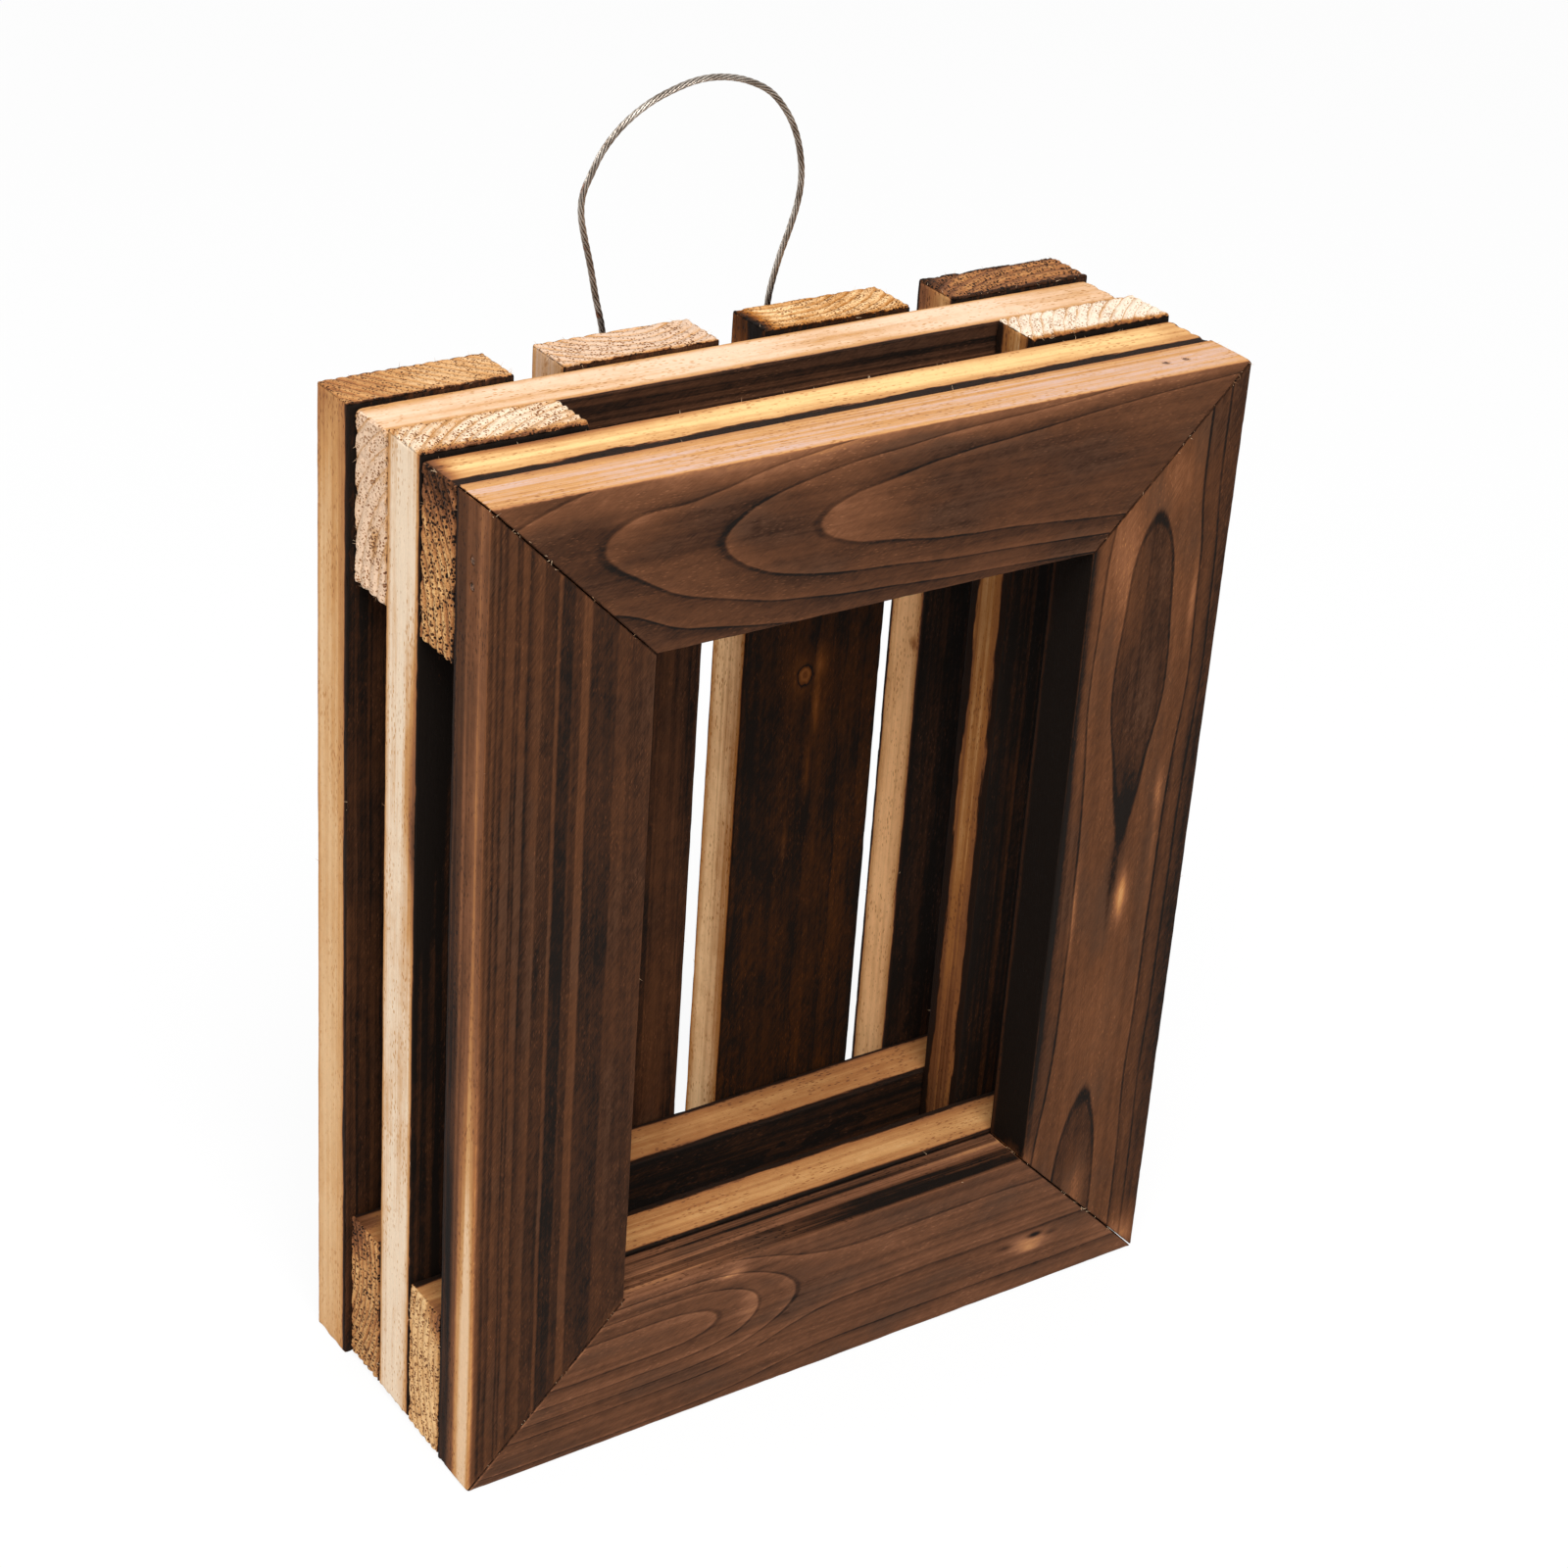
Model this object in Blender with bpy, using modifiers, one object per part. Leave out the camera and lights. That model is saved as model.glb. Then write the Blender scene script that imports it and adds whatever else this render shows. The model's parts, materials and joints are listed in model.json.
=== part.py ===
"""A slatted staghorn fern mounting board of charred softwood, with a wire rope loop to hang it by.

Five layers of plank are nailed together: four back slats, two rear rails, two side slats,
two front rails and a mitred front frame. The front faces -Y, X runs to the right and Z is up.
The origin is the centre of the wooden box, at its foot. Lengths are in metres.
"""
from math import cos, pi, radians, sin, sqrt

import bmesh
import bpy
from mathutils import Matrix, Vector

# Driving dimensions of the wood
WIDTH = 0.240            # across the front frame
HEIGHT = 0.302           # of the front frame
PLANK_T = 0.0177         # thickness of every plank
PLANK_W = 0.049          # width of the slats and rails
FRAME_W = 0.0495         # width of the front frame's members
JOINT_GAP = 0.0003       # between one layer and the next
MITRE_GAP = 0.0003       # across the mitre joints
ARRIS = 0.0009           # rounding of the planks' edges
ARRIS_STEPS = 2

# How the layers were set when they were nailed, as the photo shows
SLAT_COUNT = 4
SLAT_SHIFT = 0.0017      # the back slats stand this far to the left of the rest
SLAT_RISE = 0.0008       # and this much taller than the front frame
REAR_RAIL_SHORT = 0.0030     # the rear rails stop short of the right side
REAR_RAIL_INSET = 0.0012     # and lie this far inside the slats' feet and tops
SIDE_SLAT_LIFT = 0.0013      # the side slats start this far up
SIDE_SLAT_SHORT = 0.0012     # and are this much shorter than the back slats
FRONT_RAIL_INSET = 0.0008    # the front rails lie this far inside the front frame

# Nails and brads
NAIL_R = 0.0009
NAIL_LENGTH = 0.031
NAIL_HEAD_R = 0.0022
NAIL_HEAD_T = 0.0006
FRAME_NAIL_LENGTH = 0.030
BRAD_R = 0.0006
BRAD_LENGTH = 0.032
BRAD_HEAD_R = 0.0010
BRAD_HEAD_T = 0.0005
NAIL_SINK = 0.0003       # how far a head lies below the wood
NAIL_CLEARANCE = 0.0003  # around a nail in its hole
NAIL_SIDES = 8
NAIL_TIP = 0.0020        # length of the point
NAIL_EDGE = 0.014        # from a rail's edge to the nails in it
SLAT_NAIL_SPREAD = 0.020     # across a slat, between its two nails
SIDE_NAIL_EDGE = 0.014       # from the side to the rear rails' nails
FRONT_NAIL_EDGE = 0.034      # from the side to the front rails' nails
FRAME_NAIL_SPREAD = 0.080    # between the two nails into a frame member
BRAD_NEAR = 0.0170       # from a corner to its first brad
BRAD_PITCH = 0.0070      # and on to the second

# Screw eyes
EYE_WIRE_R = 0.0009
EYE_RING_R = 0.0039      # of the ring's centreline
EYE_SHANK = 0.0150       # length inside the slat
EYE_STAND = 0.0085       # from the slats' backs to the ring's centre
EYE_DROP = 0.0350        # from the slats' tops to the ring's centre
EYE_SPREAD = 0.0510      # between the two rings
EYE_NECK = 0.0026        # where the shank starts to bend, from the ring
EYE_NECK_ANGLE = radians(25)     # and where it has joined the ring
EYE_OPENING = radians(32)    # between the ring's end and the shank's line
EYE_CLEARANCE = 0.0003   # around the shank in its hole
EYE_RING_POINTS = 20
EYE_HOLE_SIDES = 12
TUBE_SIDES = 8           # of the bent wires, an even number

# Wire rope loop
WIRE_R = 0.00095
LOOP_SHIFT = -0.0034     # the loop's middle, from the frame's middle
WIRE_CLEARANCE = 0.0003  # between the wire and the ring that it hangs on
WIRE_EYE_R = 0.0040      # of the wire's own small eye, on its centreline
WIRE_EYE_SWEEP = radians(128)    # of the eye to each side of its lowest point
WIRE_EYE_POINTS = 12
WIRE_STEP = 0.0045       # between points along the wire
FERRULE_UP = 0.0130      # from the screw eye's centre to the ferrule's foot
FERRULE_H = 0.0090
FERRULE_WALL = 0.0009
FERRULE_CLEARANCE = 0.0003

# The loop's own points, from its left ferrule over the top to the right one. Each is a distance
# to the right of the loop's middle and a height above the screw eyes' centres.
LOOP_POINTS = [
    (-0.0275, 0.0318), (-0.0299, 0.0413), (-0.0321, 0.0512), (-0.0343, 0.0596),
    (-0.0355, 0.0660), (-0.0351, 0.0715), (-0.0329, 0.0765), (-0.0294, 0.0828),
    (-0.0235, 0.0891), (-0.0157, 0.0942), (-0.0070, 0.0975), (0.0005, 0.0991),
    (0.0083, 0.0989), (0.0159, 0.0970), (0.0234, 0.0931), (0.0292, 0.0868),
    (0.0330, 0.0797), (0.0351, 0.0718), (0.0355, 0.0652), (0.0346, 0.0590),
    (0.0325, 0.0520), (0.0303, 0.0459), (0.0283, 0.0390), (0.0270, 0.0322),
]

# Worked out from the driving dimensions
LAYER = PLANK_T + JOINT_GAP
DEPTH = 5 * PLANK_T + 4 * JOINT_GAP
FRONT_X = SLAT_SHIFT / 2     # middle of the front frame and of the layers behind it
SLATS_X = -SLAT_SHIFT / 2    # middle of the back slats
LEFT = FRONT_X - WIDTH / 2
RIGHT = FRONT_X + WIDTH / 2
SLAT_TOP = HEIGHT + SLAT_RISE
SLAT_PITCH = (WIDTH - PLANK_W) / (SLAT_COUNT - 1)    # the slats fill the width evenly
HINGE_Y = DEPTH / 2 + EYE_STAND
HINGE_Z = SLAT_TOP - EYE_DROP
LOOP_X = FRONT_X + LOOP_SHIFT

COLLECTION = "staghorn_fern_board"


def clear_scene():
    """Remove whatever the open file holds."""
    for obj in list(bpy.data.objects):
        bpy.data.objects.remove(obj, do_unlink=True)


def new_collection(name):
    collection = bpy.data.collections.new(name)
    bpy.context.scene.collection.children.link(collection)
    return collection


def material(name, colour, roughness, metallic=0.0):
    """A plain Principled material."""
    mat = bpy.data.materials.new(name)
    mat.use_nodes = True
    shader = mat.node_tree.nodes["Principled BSDF"]
    shader.inputs["Base Color"].default_value = (*colour, 1.0)
    shader.inputs["Roughness"].default_value = roughness
    shader.inputs["Metallic"].default_value = metallic
    return mat


def layer_y(layer):
    """Front and back of a layer of plank; layer 0 is the front frame."""
    front = -DEPTH / 2 + layer * LAYER
    return front, front + PLANK_T


def mesh_object(name, bm, mat, collection, location=(0, 0, 0)):
    mesh = bpy.data.meshes.new(name)
    bm.to_mesh(mesh)
    bm.free()
    obj = bpy.data.objects.new(name, mesh)
    obj.location = location
    collection.objects.link(obj)
    if mat is not None:
        mesh.materials.append(mat)
    return obj


def rounded(bm, edges):
    bmesh.ops.bevel(bm, geom=edges, offset=ARRIS, segments=ARRIS_STEPS, profile=0.5,
                    affect="EDGES", clamp_overlap=True)


def plank(name, low, high, mat, collection):
    """A straight plank between two corners, with eased arrises."""
    low, high = Vector(low), Vector(high)
    bm = bmesh.new()
    bmesh.ops.create_cube(bm, size=1.0)
    bmesh.ops.scale(bm, vec=high - low, verts=bm.verts)
    rounded(bm, bm.edges[:])
    return mesh_object(name, bm, mat, collection, (low + high) / 2)


def mitred_member(name, side, mat, collection):
    """One member of the front frame. It is drawn as the top member, then turned to its side.

    Its inner edge is shorter than its outer one by its own width at each end, which makes 45 degrees.
    """
    turns = {"top": 0, "right": -1, "bottom": 2, "left": 1}[side]
    across, along = (HEIGHT, WIDTH) if side in ("top", "bottom") else (WIDTH, HEIGHT)
    front, back = layer_y(0)
    half = along / 2 - MITRE_GAP / sqrt(2)
    bm = bmesh.new()
    bmesh.ops.create_cube(bm, size=1.0)
    bmesh.ops.scale(bm, vec=(2 * half, back - front, FRAME_W), verts=bm.verts)
    for vert in bm.verts:
        if vert.co.z < 0:
            vert.co.x -= FRAME_W if vert.co.x > 0 else -FRAME_W
    long_edges = [e for e in bm.edges if abs(e.verts[0].co.x - e.verts[1].co.x) > FRAME_W * 1.5]
    rounded(bm, long_edges)
    bmesh.ops.translate(bm, vec=(0, 0, across / 2 - FRAME_W / 2), verts=bm.verts)
    bmesh.ops.rotate(bm, cent=(0, 0, 0), matrix=Matrix.Rotation(-turns * pi / 2, 3, "Y"), verts=bm.verts)
    return mesh_object(name, bm, mat, collection, (FRONT_X, (front + back) / 2, HEIGHT / 2))


def turned(name, profile, sides, mat, collection):
    """A solid of revolution about its own Z. The profile runs from its top to its bottom."""
    mesh = bpy.data.meshes.new(name)
    edges = [(i, i + 1) for i in range(len(profile) - 1)]
    mesh.from_pydata([(r, 0.0, z) for r, z in profile], edges, [])
    obj = bpy.data.objects.new(name, mesh)
    collection.objects.link(obj)
    screw = obj.modifiers.new("Turn", "SCREW")
    screw.angle = 2 * pi
    screw.steps = sides
    screw.render_steps = sides
    screw.use_merge_vertices = True
    screw.merge_threshold = 0.00001
    screw.use_smooth_shade = False
    if mat is not None:
        mesh.materials.append(mat)
    return obj


def nail_profile(radius, length, head_r, head_t):
    return [(0.0, 0.0), (head_r, 0.0), (head_r, -head_t), (radius, -head_t),
            (radius, -(length - NAIL_TIP)), (0.0, -length)]


def hole_profile(radius, length, head_r, head_t):
    """The nail's own shape, one clearance larger, and open above the head."""
    c = NAIL_CLEARANCE
    above = 2 * NAIL_SINK + c
    return [(0.0, above), (head_r + c, above), (head_r + c, -head_t - c), (radius + c, -head_t - c),
            (radius + c, -(length - NAIL_TIP) - c), (0.0, -length - 2 * c)]


def hide_cutter(cutter):
    cutter.hide_render = True
    cutter.display_type = "WIRE"


def cut(pieces, cutter):
    """Take the cutter's shape out of each of the pieces. A piece has one Boolean for all its holes."""
    for piece in pieces:
        boolean = piece.modifiers.get("Holes")
        if boolean is None:
            boolean = piece.modifiers.new("Holes", "BOOLEAN")
            boolean.operation = "DIFFERENCE"
            boolean.solver = "EXACT"
            boolean.operand_type = "COLLECTION"
            boolean.collection = bpy.data.collections.new("holes_in_" + piece.name)
        boolean.collection.objects.link(cutter)


def drive(name, at, direction, kind, planks, parts, cutters, mat):
    """Drive a nail into planks: at is a point on the first plank's face, over the nail's head."""
    direction = Vector(direction)
    turn = Vector((0, 0, -1)).rotation_difference(direction)
    place = Matrix.Translation(Vector(at) + direction * NAIL_SINK) @ turn.to_matrix().to_4x4()
    nail = turned(name, nail_profile(*kind), NAIL_SIDES, mat, parts)
    nail.matrix_world = place
    hole = turned("hole_" + name, hole_profile(*kind), NAIL_SIDES, None, cutters)
    hole.matrix_world = place
    hide_cutter(hole)
    cut(planks, hole)
    return nail


def smooth_curve(points, step):
    """Points at an even step along a smooth curve through the given points (Catmull-Rom)."""
    points = [Vector(p) for p in points]
    ends = [2 * points[0] - points[1]] + points + [2 * points[-1] - points[-2]]
    fine = []
    for i in range(1, len(ends) - 2):
        a, b, c, d = ends[i - 1:i + 3]
        for k in range(12):
            t = k / 12
            fine.append(0.5 * ((2 * b) + (c - a) * t + (2 * a - 5 * b + 4 * c - d) * t * t
                               + (3 * b - a - 3 * c + d) * t ** 3))
    fine.append(points[-1])
    lengths = [0.0]
    for a, b in zip(fine, fine[1:]):
        lengths.append(lengths[-1] + (b - a).length)
    count = max(2, round(lengths[-1] / step))
    result, i = [], 0
    for k in range(count + 1):
        want = lengths[-1] * k / count
        while i < len(lengths) - 2 and lengths[i + 1] < want:
            i += 1
        share = (want - lengths[i]) / (lengths[i + 1] - lengths[i])
        result.append(fine[i].lerp(fine[i + 1], share))
    return result


def tube(name, points, radius, mat, collection):
    """A round bar along points: a curve with a bevel and filled caps."""
    curve = bpy.data.curves.new(name, "CURVE")
    curve.dimensions = "3D"
    curve.bevel_depth = radius
    curve.bevel_resolution = TUBE_SIDES // 2 - 2
    curve.use_fill_caps = True
    spline = curve.splines.new("POLY")
    spline.points.add(len(points) - 1)
    for point, co in zip(spline.points, points):
        point.co = (*co, 1.0)
    curve.materials.append(mat)
    obj = bpy.data.objects.new(name, curve)
    collection.objects.link(obj)
    return obj


def make_slats(mat, parts):
    """Four upright back slats, spaced evenly about the slats' own middle."""
    y0, y1 = layer_y(4)
    start = SLATS_X - WIDTH / 2
    slats = []
    for i in range(SLAT_COUNT):
        x0 = start + i * SLAT_PITCH
        slats.append(plank(f"back_slat_{i + 1}", (x0, y0, 0), (x0 + PLANK_W, y1, SLAT_TOP), mat, parts))
    return slats


def make_rails(name, layer, low_z, high_z, short, mat, parts):
    """A bottom and a top rail across one layer, short of the right side by the given length."""
    y0, y1 = layer_y(layer)
    right = RIGHT - short
    bottom = plank(name + "_bottom", (LEFT, y0, low_z), (right, y1, low_z + PLANK_W), mat, parts)
    top = plank(name + "_top", (LEFT, y0, high_z - PLANK_W), (right, y1, high_z), mat, parts)
    return bottom, top


def make_side_slats(mat, parts):
    y0, y1 = layer_y(2)
    z0 = SIDE_SLAT_LIFT
    z1 = z0 + SLAT_TOP - SIDE_SLAT_SHORT
    left = plank("side_slat_left", (LEFT, y0, z0), (LEFT + PLANK_W, y1, z1), mat, parts)
    right = plank("side_slat_right", (RIGHT - PLANK_W, y0, z0), (RIGHT, y1, z1), mat, parts)
    return left, right


def nail_slats(slats, rear_rails, parts, cutters, mat):
    """Two nails where a slat crosses a rail, set cornerwise so that they don't split the slat."""
    kind = (NAIL_R, NAIL_LENGTH, NAIL_HEAD_R, NAIL_HEAD_T)
    back = layer_y(4)[1]
    for slat in slats:
        for rail, end in zip(rear_rails, ("bottom", "top")):
            for k, side in enumerate((-1, 1)):
                x = slat.location.x + side * SLAT_NAIL_SPREAD / 2
                z = rail.location.z - side * (PLANK_W / 2 - NAIL_EDGE)
                number = slat.name[-1]
                drive(f"slat_nail_{number}_{end}_{k + 1}", (x, back, z), (0, -1, 0), kind,
                      (slat, rail), parts, cutters, mat)


def nail_side_slats(rails, side_slats, layer, edge, direction, name, parts, cutters, mat):
    """One nail where a rail crosses a side slat."""
    kind = (NAIL_R, NAIL_LENGTH, NAIL_HEAD_R, NAIL_HEAD_T)
    y = layer_y(layer)[1 if direction < 0 else 0]
    for rail, end in zip(rails, ("bottom", "top")):
        for slat, side, x in zip(side_slats, ("left", "right"), (LEFT + edge, RIGHT - edge)):
            drive(f"{name}_{end}_{side}", (x, y, rail.location.z), (0, direction, 0), kind,
                  (rail, slat), parts, cutters, mat)


def nail_frame(front_rails, members, parts, cutters, mat):
    """Two nails from behind each front rail into the member of the frame in front of it."""
    kind = (NAIL_R, FRAME_NAIL_LENGTH, NAIL_HEAD_R, NAIL_HEAD_T)
    back = layer_y(1)[1]
    for rail, end in zip(front_rails, ("bottom", "top")):
        for side, place in ((-1, "left"), (1, "right")):
            at = (FRONT_X + side * FRAME_NAIL_SPREAD / 2, back, rail.location.z)
            drive(f"frame_nail_{end}_{place}", at, (0, -1, 0), kind, (rail, members[end]),
                  parts, cutters, mat)


def brad_mitres(members, parts, cutters, mat):
    """Two brads at each corner, driven through the outer edge of one member into the next."""
    kind = (BRAD_R, BRAD_LENGTH, BRAD_HEAD_R, BRAD_HEAD_T)
    y = sum(layer_y(0)) / 2
    for k in range(2):
        inset = BRAD_NEAR + k * BRAD_PITCH
        corners = {
            "top_left": ((LEFT, y, HEIGHT - inset), (1, 0, 0), "left", "top"),
            "top_right": ((RIGHT - inset, y, HEIGHT), (0, 0, -1), "top", "right"),
            "bottom_right": ((RIGHT, y, inset), (-1, 0, 0), "right", "bottom"),
            "bottom_left": ((LEFT + inset, y, 0), (0, 0, 1), "bottom", "left"),
        }
        for corner, (at, direction, first, second) in corners.items():
            drive(f"mitre_brad_{corner}_{k + 1}", at, direction, kind,
                  (members[first], members[second]), parts, cutters, mat)


def make_screw_eye(name, x, slat, parts, cutters, mat):
    """A bent wire eye: its shank runs into the slat, and its ring stands behind in the YZ plane."""
    r = EYE_RING_R
    outline = [(-EYE_STAND - EYE_SHANK, 0.0), (-r - EYE_NECK, 0.0), (-r - EYE_NECK * 0.4, -EYE_WIRE_R / 6)]
    start, end = pi + EYE_NECK_ANGLE, 3 * pi - EYE_OPENING
    for k in range(EYE_RING_POINTS + 1):
        angle = start + (end - start) * k / EYE_RING_POINTS
        outline.append((r * cos(angle), r * sin(angle)))
    points = [Vector((x, HINGE_Y + y, HINGE_Z + z)) for y, z in outline]
    eye = tube(name, points, EYE_WIRE_R, mat, parts)
    bore = EYE_WIRE_R + EYE_CLEARANCE
    reach = EYE_SHANK + EYE_CLEARANCE
    profile = [(0.0, EYE_WIRE_R), (bore, EYE_WIRE_R), (bore, -reach), (0.0, -reach)]
    hole = turned("hole_" + name, profile, EYE_HOLE_SIDES, None, cutters)
    hole.matrix_world = Matrix.Translation((x, DEPTH / 2, HINGE_Z)) @ Matrix.Rotation(-pi / 2, 4, "X")
    hide_cutter(hole)
    cut((slat,), hole)
    return eye


def wire_eye(x, side):
    """The wire's small eye through a screw eye, from its cut end to the foot of the loop's leg.

    side is -1 for the left eye and 1 for the right one. The leg is the outer of the two strands.
    """
    strand = WIRE_R + WIRE_CLEARANCE / 2
    foot = HINGE_Z + FERRULE_UP
    seat = EYE_RING_R - EYE_WIRE_R - WIRE_R - WIRE_CLEARANCE
    centre = HINGE_Z + seat + WIRE_EYE_R
    points = [(-strand, foot + FERRULE_H), (-strand, foot)]
    for k in range(WIRE_EYE_POINTS + 1):
        angle = WIRE_EYE_SWEEP * (2 * k / WIRE_EYE_POINTS - 1)
        points.append((WIRE_EYE_R * sin(angle), centre - WIRE_EYE_R * cos(angle)))
    return [Vector((x + side * across, HINGE_Y, z)) for across, z in points]


def make_hanger(parts, mats):
    """The wire rope with its two eyes, and a ferrule crimped on each."""
    strand = WIRE_R + WIRE_CLEARANCE / 2
    foot = HINGE_Z + FERRULE_UP
    left, right = LOOP_X - EYE_SPREAD / 2, LOOP_X + EYE_SPREAD / 2
    legs = [[Vector((x + side * strand, HINGE_Y, z)) for z in (foot, foot + FERRULE_H)]
            for x, side in ((left, -1), (right, 1))]
    loop = [Vector((LOOP_X + across, HINGE_Y, HINGE_Z + up)) for across, up in LOOP_POINTS]
    route = wire_eye(left, -1)
    route += smooth_curve(legs[0] + loop + legs[1][::-1], WIRE_STEP)
    route += wire_eye(right, 1)[::-1]
    length = sum((b - a).length for a, b in zip(route, route[1:]))
    print(f"wire length {length:.4f} m, {len(route)} points")
    tube("hanging_wire", route, WIRE_R, mats["wire"], parts)
    for name, x in (("wire_ferrule_left", left), ("wire_ferrule_right", right)):
        make_ferrule(name, x, foot + FERRULE_H / 2, strand, mats["ferrule"], parts)


def oval(half_gap, radius, steps=6):
    """An outline of two half circles, each centred half_gap from the middle."""
    points = []
    for side in (1, -1):
        for k in range(steps + 1):
            angle = -pi / 2 + pi * k / steps
            points.append((side * (half_gap + radius * cos(angle)), side * radius * sin(angle)))
    return points


def make_ferrule(name, x, z, strand, mat, parts):
    """An oval sleeve round both strands of the wire."""
    bore = WIRE_R + FERRULE_CLEARANCE
    curve = bpy.data.curves.new(name, "CURVE")
    curve.dimensions = "2D"
    curve.fill_mode = "BOTH"
    curve.extrude = FERRULE_H / 2
    for radius in (bore + FERRULE_WALL, bore):
        outline = oval(strand, radius)
        spline = curve.splines.new("POLY")
        spline.points.add(len(outline) - 1)
        spline.use_cyclic_u = True
        for point, (u, v) in zip(spline.points, outline):
            point.co = (u, v, 0.0, 1.0)
    curve.materials.append(mat)
    obj = bpy.data.objects.new(name, curve)
    obj.location = (x, HINGE_Y, z)
    parts.objects.link(obj)
    return obj


def hang_on_hinge(parts):
    """The wire and its ferrules turn together about the line through the two rings."""
    hinge = bpy.data.objects.new("hanger_hinge", None)
    hinge.location = (LOOP_X, HINGE_Y, HINGE_Z)
    parts.objects.link(hinge)
    for name in ("hanging_wire", "wire_ferrule_left", "wire_ferrule_right"):
        obj = bpy.data.objects[name]
        obj.parent = hinge
        obj.matrix_parent_inverse = Matrix.Translation(hinge.location).inverted()


def make_materials():
    return {
        "frame": material("charred_frame_wood", (0.085, 0.045, 0.026), 0.62),
        "slat": material("charred_slat_wood", (0.30, 0.17, 0.09), 0.70),
        "rail": material("charred_rail_wood", (0.34, 0.20, 0.10), 0.70),
        "side": material("pale_side_wood", (0.46, 0.29, 0.15), 0.70),
        "nail": material("nail_steel", (0.45, 0.44, 0.42), 0.35, 1.0),
        "wire": material("wire_rope_steel", (0.50, 0.49, 0.46), 0.32, 1.0),
        "ferrule": material("ferrule_aluminium", (0.62, 0.62, 0.62), 0.40, 1.0),
        "screw_eye": material("screw_eye_zinc", (0.55, 0.54, 0.50), 0.30, 1.0),
    }


def main():
    clear_scene()
    parts = new_collection(COLLECTION)
    cutters = new_collection("cutters")
    mats = make_materials()

    slats = make_slats(mats["slat"], parts)
    rear_rails = make_rails("rear_rail", 3, REAR_RAIL_INSET, SLAT_TOP - REAR_RAIL_INSET,
                            REAR_RAIL_SHORT, mats["rail"], parts)
    side_slats = make_side_slats(mats["side"], parts)
    front_rails = make_rails("front_rail", 1, FRONT_RAIL_INSET, HEIGHT - FRONT_RAIL_INSET, 0.0,
                             mats["rail"], parts)
    members = {side: mitred_member("frame_" + side, side, mats["frame"], parts)
               for side in ("top", "bottom", "left", "right")}

    nail_slats(slats, rear_rails, parts, cutters, mats["nail"])
    nail_side_slats(rear_rails, side_slats, 3, SIDE_NAIL_EDGE, -1, "rear_rail_nail",
                    parts, cutters, mats["nail"])
    nail_side_slats(front_rails, side_slats, 1, FRONT_NAIL_EDGE, 1, "front_rail_nail",
                    parts, cutters, mats["nail"])
    nail_frame(front_rails, members, parts, cutters, mats["nail"])
    brad_mitres(members, parts, cutters, mats["nail"])

    for name, x, slat in (("screw_eye_left", LOOP_X - EYE_SPREAD / 2, slats[1]),
                          ("screw_eye_right", LOOP_X + EYE_SPREAD / 2, slats[2])):
        make_screw_eye(name, x, slat, parts, cutters, mats["screw_eye"])
    make_hanger(parts, mats)
    hang_on_hinge(parts)


main()
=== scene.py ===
# %% [markdown]
# # A staghorn fern board of charred wood
#
# The board is an open box of softwood planks, nailed together in five layers: four back slats, two
# rear rails, two side slats, two front rails and a mitred front frame. A loop of wire rope hangs it
# on a wall. The planks were charred with a torch before they were sawn to length, so their wide
# faces are brown to black, while the sawn edges and the end grain stay pale and are only scorched
# along their arrises.
#
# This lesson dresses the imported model, which comes in as a fixed frame: every size below is read
# from its nodes, and each new piece takes the place of the nodes that it stands for.

# %% Load the frame
import json
from dataclasses import dataclass
from math import cos, pi, radians, sin
from types import SimpleNamespace

import bmesh
import bpy
from mathutils import Matrix, Vector


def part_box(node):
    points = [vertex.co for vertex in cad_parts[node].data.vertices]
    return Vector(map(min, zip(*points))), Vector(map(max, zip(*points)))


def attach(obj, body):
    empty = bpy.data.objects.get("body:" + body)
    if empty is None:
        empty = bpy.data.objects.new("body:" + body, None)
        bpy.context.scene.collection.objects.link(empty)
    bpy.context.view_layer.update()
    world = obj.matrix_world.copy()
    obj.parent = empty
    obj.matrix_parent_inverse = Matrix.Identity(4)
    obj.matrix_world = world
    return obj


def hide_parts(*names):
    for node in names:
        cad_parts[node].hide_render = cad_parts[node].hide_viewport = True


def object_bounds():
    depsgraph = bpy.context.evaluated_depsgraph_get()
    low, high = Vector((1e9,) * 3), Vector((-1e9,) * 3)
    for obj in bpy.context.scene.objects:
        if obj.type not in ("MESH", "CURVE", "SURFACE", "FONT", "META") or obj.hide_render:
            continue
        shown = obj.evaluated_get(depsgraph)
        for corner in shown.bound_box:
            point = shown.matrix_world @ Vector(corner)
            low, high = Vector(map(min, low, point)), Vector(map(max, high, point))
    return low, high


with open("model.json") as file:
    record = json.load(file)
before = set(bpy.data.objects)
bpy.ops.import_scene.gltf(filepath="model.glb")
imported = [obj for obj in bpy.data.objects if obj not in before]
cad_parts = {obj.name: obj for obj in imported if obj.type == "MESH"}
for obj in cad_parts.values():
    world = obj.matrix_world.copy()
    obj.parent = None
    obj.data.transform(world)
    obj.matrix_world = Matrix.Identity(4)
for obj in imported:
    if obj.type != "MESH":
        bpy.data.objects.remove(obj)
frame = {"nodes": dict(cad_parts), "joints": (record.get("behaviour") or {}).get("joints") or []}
cad_box = [list(corner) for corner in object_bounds()]
MM = 0.001
print("nodes in the frame:", len(frame["nodes"]))
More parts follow.
